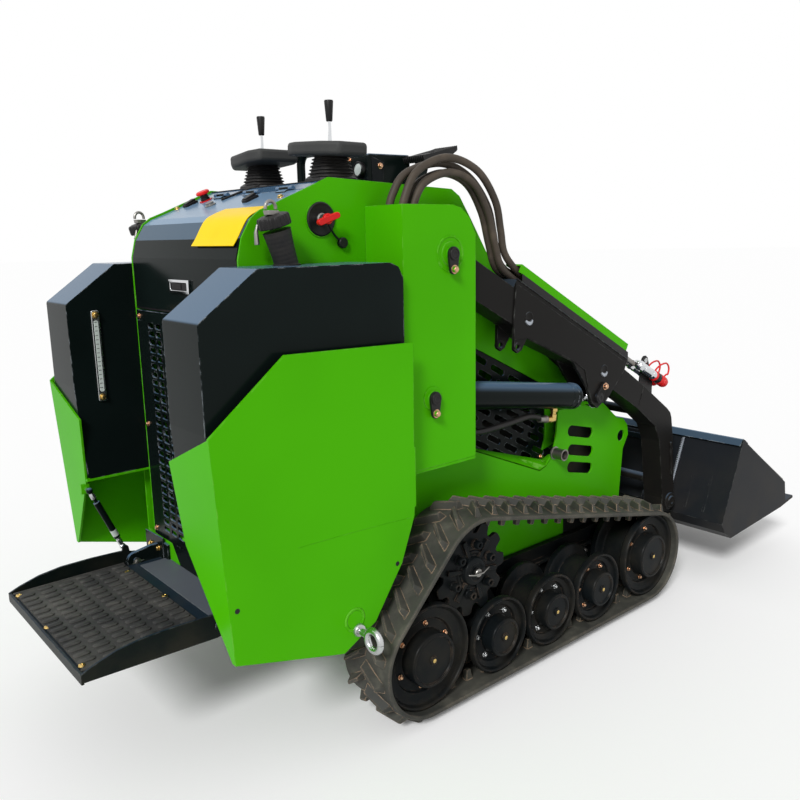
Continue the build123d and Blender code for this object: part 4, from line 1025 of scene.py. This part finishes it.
class LOADER_OT_hoses(bpy.types.Operator):
    """Boom hoses from the right tower over to the arm, their crimped ends, and the pipes under the covers"""
    bl_idname = "loader.hoses"
    bl_label = "Boom hoses"

    def execute(self, context):
        low = [(-466, 1181), (-466, 1230), (-462, 1272), (-425, 1328), (-338, 1356), (-255, 1332), (-200, 1262),
               (-172, 1182), (-148, 1118), (-106, 1085), (-40, 1051), (50, 1003), (130, 961)]
        along = [(-40, 1074), (50, 1027), (130, 985)]
        inner = [(-521, 1181), (-521, 1250), (-508, 1300), (-462, 1352), (-350, 1380), (-250, 1352), (-178, 1280),
                 (-152, 1205), (-140, 1150), (-110, 1108), *along]
        outer = [(-496, 1181), (-496, 1240), (-490, 1290), (-446, 1356), (-345, 1392), (-238, 1364), (-170, 1290),
                 (-148, 1215), (-134, 1155), (-98, 1114), *along]
        crimp = [(0, 0), (14, 0), (14, 10), (12, 12), (12, 36), (10.4, 38), (0, 38)]
        runs, ends = [], []
        for y, high in ((-362, inner), (-385, outer)):
            for route in (low, high):
                runs.append(tube(curve_points([(x, y, z) for x, z in route], 10), 9.9, 20))
                ends.append(lathe(crimp, (route[0][0], y, 1180), UP, 20))
        hoses = piece("boom_hose_runs", runs, "hose", None)
        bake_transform(hoses)
        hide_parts("boom_hoses")
        piece("hose_collars", ends, "worn")
        strip = [(-80, 1060), (445, 784), (445, 817), (-80, 1093)]
        liner = [plate(strip, side * (ARM_OUTER - 16), side * (ARM_OUTER - 14.4)) for side in BOTH]
        piece("cover_liners", liner, "plastic", "boom")
        piece("arm_pipes", [tube([(-40, s * y, 1052), (200, s * y, 926), (440, s * y, 800), (490, s * y, 772)], 9)
                            for s in BOTH for y in (372, 396)], "worn", "boom")
        return {"FINISHED"}


class LOADER_OT_couplers(bpy.types.Operator):
    """Quick couplers with their collars, the red dust caps and strap loops, and the bracket"""
    bl_idname = "loader.couplers"
    bl_label = "Couplers"

    def execute(self, context):
        start, end = np.array((505, 775.0)), np.array((690, 678.0))
        way = (end - start) / np.linalg.norm(end - start)
        collar = [(0, 0), (10, 0), (10, 10), (14, 12), (14, 40), (11, 42), (11, 48), (15.5, 50), (15.5, 92), (13, 94),
                  (13, 100), (16, 102), (16, 128), (12, 130), (12, 150), (0, 150)]
        cap = [(0, 153), (18, 153), (19, 156), (19, 166), (17, 167), (17, 172), (19, 173), (19, 189), (17, 196),
               (12, 200), (0, 201)]
        turned, caps, bands, loops = [], [], [], []
        for y, lift in ((-362, 70), (-398, 65)):
            base, axis = (start[0], y, start[1]), (way[0], 0, way[1])
            turned += [lathe(collar, base, axis), lathe(corners(0, 17, 20, 38), base, axis, 6)]
            bands.append(lathe([(0, 130), (17, 130), (18, 132), (18, 152), (17, 154), (0, 154)], base, axis))
            caps += [lathe(cap, base, axis, 36), lathe(corners(0, 18.2, 122, 129), base, axis)]
            strap = [(125, 16), (128, 26), (148, lift * 0.75), (178, lift), (200, lift * 0.86), (205, lift * 0.55),
                     (196, 30), (186, 17)]
            loops.append(tube(curve_points([(start[0] + way[0] * d - way[1] * h, y, start[1] + way[1] * d + way[0] * h)
                                            for d, h in strap]), 3.0, 10))
        made = piece("coupler_bodies", turned, "chrome", "boom", bevel=0.5)
        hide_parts("couplers")
        piece("coupler_bands", bands, "plastic", "boom")
        piece("coupler_caps", caps, "red", "boom", bevel=0.5)
        piece("coupler_straps", loops, "red", "boom")
        arm = [(556, 672), (640, 628), (640, 690), (612, 716), (604, 776), (596, 786), (584, 786), (574, 776)]
        bracket = [plate(arm, -378, -373), plate(band((590, 770, 15), (600, 730, 20)), -380, -371)]
        piece("coupler_bracket", bracket, "plastic", "boom", bevel=1.0)
        washer = lathe([(0, 0), (9, 0), (9, 2), (5, 3), (4, 2), (0, 2)], (590, -380, 770), RIGHT, 20)
        piece("coupler_washer", [washer], "steel", "boom")
        hose = tube(curve_points([(430, -385, 812), (462, -380, 798), (485, -370, 786), (508, -362, 774)], 6), 11, 14)
        piece("coupler_hose", [hose], "plastic", "boom")
        return {"FINISHED"}


def line_between(foot, head):
    """Unit direction and length from one point to another."""
    way = np.array(head, float) - foot
    return way / np.linalg.norm(way), np.linalg.norm(way)


class LOADER_OT_cylinders(bpy.types.Operator):
    """Glands, elbows and feed hoses of the lift and tilt cylinders"""
    bl_idname = "loader.cylinders"
    bl_label = "Cylinder details"

    def execute(self, context):
        way, length = line_between(LIFT_BASE, LIFT_EYE)
        axis, down = (way[0], 0, way[1]), (way[1], 0, -way[0])
        end = length - 78                                # the barrel's mouth
        port = end - 84
        gland = [(20.6, 0), (40.5, 0), (40.5, 3), (40.2, 22), (41.5, 23), (41.5, 37), (37, 40), (26, 41), (20.6, 41)]
        elbow = [(0, 37), (13, 37), (13, 47), (9, 48), (9, 55), (12, 56), (12, 68), (0, 68)]
        ferrule = [(0, 0), (10.5, 0), (10.5, 26), (12, 28), (12, 34), (0, 34)]
        glands, brass, hoses, ferrules, nipples, sleeves = [], [], [], [], [], []
        for side in BOTH:
            y = side * CYLINDER_MIDDLE
            at = lambda d, h: np.array((LIFT_BASE[0], y, LIFT_BASE[1])) + np.array(axis) * d + np.array(down) * h
            glands.append(lathe(gland, at(end - 40, 0), axis, 48, ring=True))
            brass += [lathe(elbow, at(port, 0), down, 6),
                      tube([at(port + 2, 64), at(port + 1, 70), at(port - 10, 73), at(port - 34, 72)],
                           [10, 11, 10, 9], 14)]
            ferrules.append(lathe(ferrule, at(port - 66, 71), axis, 20))
            hoses.append(tube(curve_points([at(port - 44, 71), (-15, y, 673), (-109, y, 667), (-236, y, 664),
                                            (-330, y, 690), at(60, 42), at(46, 34)]), 8.6, 14))
            x, z = LIFT_EYE
            nipples.append(lathe([(0, 0), (5, 0), (4, 5), (2.5, 8), (0, 9)], (x, y, z + 33), UP, 14))
            sleeves.append(lathe(corners(0, 33.8, -26, 26), (x, y, z), side, 40))
        piece("lift_glands", glands, "black", "lift_barrels")
        piece("lift_elbows", brass, "brass", "lift_barrels", bevel=0.8)
        piece("lift_ferrules", ferrules, "worn", "lift_barrels")
        piece("lift_hoses", hoses, "plastic", "lift_barrels")
        piece("lift_eye_sleeves", sleeves, "black", "lift_rods", bevel=1.0)
        piece("lift_nipples", nipples, "brass", "lift_rods")
        way, length = line_between(TILT_BASE, TILT_EYE)
        x, z = TILT_BASE + way * (length - 90 - 34)
        gland = [(17.6, 0), (32, 0), (32, 20), (33, 21), (33, 32), (28, 35), (17.6, 35)]
        piece("tilt_gland", [lathe(gland, (x, 0, z), (way[0], 0, way[1]), 44, ring=True)], "black", "tilt_barrel")
        run = [(360, 34, 690), (420, 46, 650), (520, 46, 560), (580, 40, 512), (600, 30, 500)]
        piece("tilt_hose", [tube(curve_points([(x, s * y, z) for x, y, z in run]), 8) for s in BOTH],
              "plastic", "tilt_barrel")
        return {"FINISHED"}


# ------------------------------------------------------------------ tanks, fenders and platform
class LOADER_OT_tanks(bpy.types.Operator):
    """Filler necks with their caps, the sight gauge, and the isolator's dish and key"""
    bl_idname = "loader.tanks"
    bl_label = "Tank details"

    def execute(self, context):
        necks, caps, locks = [], [], []
        run = np.linspace(0, 78, 40)
        ribs = 27 + 0.15 * np.cos(run * TAU / 9.7) + 5 * (run / 78) ** 2
        knurl = 1 + 0.035 * np.sign(np.sin(18 * (np.arange(72) * TAU / 72)))
        bow = np.linspace(-0.2, math.pi + 0.2, 18)
        for side in BOTH:
            y = side * (TANK_INNER + 52)
            foot, head = np.array((-811, y, TANK_TOP + 1.0)), np.array((-836, y, TANK_TOP + 86.0))
            axis, _ = line_between(foot, head)
            necks += [lathe([(0, 0), *zip(ribs, run), (0, 78)], foot, axis, 36),
                      lathe([(0, 0), (31, 0), (31, 3), (27, 5), (0, 5)], (-811, y, TANK_TOP), UP, 36)]
            crown = head - axis * 2
            points, faces = lathe([(0, 0), (34, 0), (36, 2), (36, 20), (34, 24), (26, 27), (0, 28)], crown, axis, 72)
            local = (points - crown) @ rotation(axis)
            rim = np.hypot(local[:, 0], local[:, 1]) > 33
            local[rim, :2] *= np.tile(knurl, 7)[rim][:, None]
            caps.append((local @ rotation(axis).T + crown, faces))
            x, _, z = crown + axis * 27
            hasp = [head + (-30, -24 * side, 4), head + (-34, -25 * side, -14), head + (-33, -25 * side, -40)]
            bow_path = np.stack([x - 3 + 13 * np.cos(bow), 0 * bow + y, z + 14 + 15 * np.sin(bow)], 1)
            locks += [tube(hasp, [3, 5, 6.5], 8), stack([(z - 1, x, y, 30, 22, 4), (z + 9, x - 2, y, 30, 22, 4)], 4),
                      tube(bow_path, 4, 10)]
        made = piece("filler_tubes", necks, "boot", smooth=60)
        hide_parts("filler_necks")
        piece("filler_caps", caps, "plastic", bevel=0.6)
        piece("filler_locks", locks, "worn", bevel=0.8)
        x, y, z = -1016, TANK_INNER, 895
        piece("sight_frame", [plate(rounded(22, 250, 5) + (x, z), y, y - 6)], "steel", bevel=1.2)
        piece("sight_window", [plate(rounded(11, 196, 5) + (x, z), y - 5, y - 7.5)], "glass")
        marks = [block(x - 5, x + 2, y - 7, y - 8, low, low + 1.4) for low in range(808, 990, 12)]
        piece("sight_marks", marks, "plastic", smooth=0)
        bolts("sight_bolts", [((x, y - 6, end), RIGHT) for end in (782, 1008)], "brass", radius=7, head=5)
        x, z = -676, 1244
        face = RIGHT * (BODY_HALF + 0.3)
        dish = [(0, 0), (40, 0), (40, 3), (37, 5), (34, 4), (31, 2.5), (0, 2.5)]
        made = piece("isolator_dish", [lathe(dish, (x, face, z), RIGHT, 48)], "plastic")
        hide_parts("isolator")
        rim = lathe(corners(40, 43, 0, 1.6), (x, face, z), RIGHT, 48, ring=True)
        piece("isolator_rim", [rim], "green")
        shaft = [(0, 2), (14, 2), (14, 7), (11, 9), (11, 28), (0, 28)]
        piece("isolator_shaft", [lathe(shaft, (x, face, z), RIGHT, 28)], "worn")
        key = [plate(band((x - 24, z - 8, 7.5), (x + 24, z + 8, 7.4)), face - 27, face - 38),
               lathe(corners(0, 12.5, 24, 34), (x, face, z), RIGHT, 24)]
        piece("isolator_key", key, "red", bevel=1.6)
        strap = curve_points([(-668, face - 16, 1236), (-654, face - 14, 1216), (-640, face - 8, 1204),
                              (-624, face - 6, 1192)], 6)
        plug = lathe([(0, 0), (13, 0), (13, 9), (11, 11), (0, 11)], (-617, face, 1188), RIGHT, 24)
        piece("isolator_cap", [tube(strap, 2.6, 8), plug], "plastic")
        return {"FINISHED"}


class LOADER_OT_fenders(bpy.types.Operator):
    """Pressed dimple, seam and small holes of the fenders, and the eye bolts with their rings"""
    bl_idname = "loader.fenders"
    bl_label = "Fender details"

    def execute(self, context):
        dimple, holes, nuts = [], [], []
        x, z = -742, 287                                 # the eye bolt's nut
        reach, fall, loop = 57, -7, 24.5                 # its ring's middle from the nut, and the ring's radius
        turn = np.arange(49) * TAU / 48
        for side in BOTH:
            face = side * FENDER_OUTER
            dimple.append(lathe([(22, 0), (30, 0), (28, 0.9), (24, 0.9)], (-752, face, 316), side, 40, ring=True))
            holes += [lathe(corners(0, 6, 0, 0.25), (a, face, b), side, 20)
                      for a, b in ((-1056, 440), (-618, 418), (x, z))]
            dimple.append(bead([(-900, face, 537), (-760, face, 534), (-640, face, 529), (-572, face, 525)], 0.35))
            ring = [x + 0 * turn, face + side * (reach + loop * np.cos(turn)), z + fall + loop * np.sin(turn)]
            nuts += [lathe([(0, 0), (17, 0), (17, 3), (14, 8), (0, 9)], (x, face, z), side),
                     tube([(x, face, z), (x, face + side * (reach - 22), z + fall * 0.4)], [9, 8], 20),
                     tube(np.stack(ring, 1), 8.5, 16)]
        piece("fender_pressings", dimple, "green")
        piece("fender_holes", holes, "plastic")
        made = piece("eye_rings", nuts, "steel")
        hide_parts("eye_bolts")
        return {"FINISHED"}


class LOADER_OT_platform(bpy.types.Operator):
    """Grip bars and bolts of the mat, the hinge's brackets, apron and ears, and the damper's ends"""
    bl_idname = "loader.platform"
    bl_label = "Platform details"

    def execute(self, context):
        top, half = PLATFORM_TOP, PLATFORM_HALF - 22
        r, c = np.meshgrid(np.arange(-8, 9), np.arange(6), indexing="ij")
        spots = np.stack([-1287 + c * 49.4, (r + 0.5 * (c % 2)) * 31.0], -1).reshape(-1, 2)
        bars = [stack([(top - 1, x, y, 38, 17, 8.4), (top + 2.6, x, y, 38, 17, 8.4), (top + 4, x, y, 34, 13, 6.4)], 4)
                for x, y in spots if abs(y) < half - 8]
        bars += [stack([(top - 1, -1164, y, 296, 7, 3.4), (top + 1.6, -1164, y, 296, 6, 2.9)], 3)
                 for y in (-half - 3, half + 3)]
        piece("mat_bars", bars, "mat", "platform", smooth=50)
        stud = [(0, 0), (8, 0), (7, 2.6), (3, 4), (2.5, 3), (0, 3)]
        places = ((-1034, 184), (-1022, -30), (-1034, -200), (-1303, 1), (-1303, -233), (-1303, 233))
        piece("mat_bolts", [lathe(stud, (x, y, top), UP, 20) for x, y in places], "brass", "platform")
        x = BODY_REAR - 8
        mounts = [across([(side * 218, 244), (side * 336, 238), (side * 336, 358), (side * 218, 362)], x - 4, x)
                  for side in BOTH]
        piece("bracket_plates", mounts, "black", bevel=1.0)
        spots = [((x - 4, side * y, z), REARWARD) for side in BOTH for y in (247, 299) for z in (273, 325)]
        bolts("bracket_bolts", spots, "brass", radius=7)
        piece("hinge_apron", [block(-985, -901.6, -215, 215, 300, 301.6)], "apron")
        x, z = PLATFORM_PIVOT
        eye = [(10, 0), (24, 0), (24, 3), (20, 4.5), (10, 4.5)]
        ears = [lathe(eye, (x, side * PLATFORM_HALF, z), side, 36, ring=True) for side in BOTH]
        piece("platform_ears", ears, "black", "platform", bevel=0.6)
        head, pins = [(0, 0), (12, 0), (12, 2), (8, 3), (8, 7), (6.5, 8), (0, 8)], []
        for side in BOTH:
            wire = [(x + a, side * 237, z + b) for a, b in ((-15, -2), (0, 0), (18, 3))]
            pins += [lathe(head, (x, side * 242, z), -side, 24), tube(wire, 1.8, 8)]
        piece("platform_pins", pins, "worn")
        socket = [(0, 8), (6, 8), (7.5, 12), (7.5, 26), (5, 28), (0, 28)]
        top, foot = np.array((-1080, 288, 526.0)), np.array((-1003, 288, 343.0))
        way, _ = line_between(top, foot)
        piece("damper_label", [lathe(corners(0, 9.4, 138, 158), top, way, 24)], "glass",
              "strut_barrel")
        pivot = lathe(corners(0, 6, 0, 14), top + (0, 6, 0), LEFT, 16)
        piece("damper_socket_top", [lathe(socket, top, way, 20), pivot], "steel", "strut_barrel")
        piece("damper_socket_foot", [lathe(socket, foot, -way, 20)], "steel", "strut_rod")
        return {"FINISHED"}


# ------------------------------------------------------------------ front
class LOADER_OT_bucket(bpy.types.Operator):
    """Welds, wear strips and hooks of the bucket"""
    bl_idname = "loader.bucket"
    bl_label = "Bucket details"

    def execute(self, context):
        half, welds, edge, hooks = BUCKET_HALF, [], [], []
        seam = [(884, 472), (770, 196), (794, 162), (834, 134), (1218, 157)]
        toe = [(1120, 146), (1236, 153), (1256, 164), (1244, 200), (1215, 196), (1130, 190)]
        brow = [(888, 470), (904, 452), (1232, 246), (1238, 256), (908, 464), (894, 478)]
        hook = [(778, 250), (812, 330), (846, 415), (838, 424), (800, 400), (776, 330), (764, 262)]
        edge.append(plate([(1222, 149.5), (1317, 165), (1315, 172), (1222, 159)], -half + 2, half - 2))
        for side in BOTH:
            welds.append(bead([(x - 1.5, side * (half - 2.8), z) for x, z in seam], 2.2))
            edge += [plate(toe, side * (half - 8), side * (half - 14)),
                     plate(brow, side * (half - 7.5), side * (half - 12))]
            hooks += [plate(hook, side * 300, side * 312),
                      lathe(corners(0, 15, 0, 40), (806, side * 296, 396), side, 24)]
        slope = (880 - 762) / (478 - 194)                # of the bucket's back
        for y in (-378, 378):
            welds.append(bead([(762 + slope * (z - 194) - 6, y * 1.008, z) for z in (228, 452)], 6.0, 7.0))
        piece("bucket_welds", welds, "weld", "bucket")
        piece("bucket_edge", edge, "worn", "bucket", bevel=0.6)
        ribs = [plate([(781, 215), (871, 430), (862, 434), (772, 219)], y - 5, y + 5) for y in (-450, -520, 450, 520)]
        piece("bucket_ribs", ribs, "bucket", "bucket", bevel=1.0)
        piece("attach_hooks", hooks, "bucket", "bucket", bevel=1.0)
        rails = [plate([(860, 458), (884, 458), (884, 480), (876, 480)], -half + 2, half - 2),
                 plate([(838, 420), (852, 414), (860, 434), (846, 440)], -312, 312)]
        piece("bucket_rails", rails, "black", "bucket", bevel=1.2)
        return {"FINISHED"}


class LOADER_OT_nose(bpy.types.Operator):
    """Pipes, valve block and crossbars seen between the nose plates"""
    bl_idname = "loader.nose"
    bl_label = "Nose pipework"

    def execute(self, context):
        pipes = []
        for y, low, lean in ((-245, 250, 14), (-190, 230, -10), (-120, 260, 12), (60, 240, -12), (150, 250, 10),
                             (262, 236, 12)):
            pipes.append(tube(curve_points([(498, y - 70, 470), (504, y - 40, 472), (506, y - 12, 462), (506, y, 438),
                                            (504, y + lean * 0.5, 380), (502, y + lean, 320), (500, y + lean, low)],
                                           7), 8))
        leaning = ((0, 0.9, 0.42), (0, -0.42, 0.9))
        bars = [prism(corners(-6, 6, 0, 190), leaning, (500, y, 270), 8) for y in range(-240, 300, 95)]
        bars += [block(486, 500, -332, 332, z, z + 14) for z in (232, 330, 404)]
        bars += [stack([(250, 478, y, 60, 70, 6), (318, 478, y, 60, 70, 6)], 4) for y in (-210, -30, 190)]
        route = ((494, 0, 250), (508, 12, 300), (500, 34, 360), (478, 40, 420), (452, 46, 470))
        hoses = [tube(curve_points([(x, y + a, z) for x, a, z in route], 7), 10) for y in (-230, -180, -60, 90, 210)]
        piece("nose_pipes", pipes, "brass")
        piece("nose_bars", bars, "black", bevel=1.2)
        piece("nose_hoses", hoses, "plastic")
        return {"FINISHED"}


steps = [LOADER_OT_stage, LOADER_OT_frame, LOADER_OT_tracks, LOADER_OT_wheels, LOADER_OT_sprockets,
         LOADER_OT_running_gear, LOADER_OT_rear_grille, LOADER_OT_side_grilles, LOADER_OT_lid_details,
         LOADER_OT_console, LOADER_OT_pods, LOADER_OT_front_box, LOADER_OT_towers, LOADER_OT_arms, LOADER_OT_hoses,
         LOADER_OT_couplers, LOADER_OT_cylinders, LOADER_OT_tanks, LOADER_OT_fenders, LOADER_OT_platform,
         LOADER_OT_bucket, LOADER_OT_nose]
settings = [LoaderColours, LoaderSizes]


class LOADER_PT_panel(bpy.types.Panel):
    """Lists the loader's steps and settings"""
    bl_idname = "LOADER_PT_panel"
    bl_label = "Loader"
    bl_space_type = "VIEW_3D"
    bl_region_type = "UI"
    bl_category = "Loader"

    def draw(self, context):
        for group in (context.scene.loader_colours, context.scene.loader_sizes):
            for name in group.bl_rna.properties.keys():
                if name not in ("rna_type", "name"):
                    self.layout.prop(group, name)
        for step in steps:
            self.layout.operator(step.bl_idname)


def register():
    for kind in (*settings, *steps, LOADER_PT_panel):
        bpy.utils.register_class(kind)
    bpy.types.Scene.loader_colours = PointerProperty(type=LoaderColours)
    bpy.types.Scene.loader_sizes = PointerProperty(type=LoaderSizes)


def unregister():
    del bpy.types.Scene.loader_sizes, bpy.types.Scene.loader_colours
    for kind in (LOADER_PT_panel, *reversed(steps), *reversed(settings)):
        bpy.utils.unregister_class(kind)


def main():
    register()
    for step in steps:
        group, name = step.bl_idname.split(".")
        getattr(getattr(bpy.ops, group), name)()


if __name__ == "__main__":
    main()
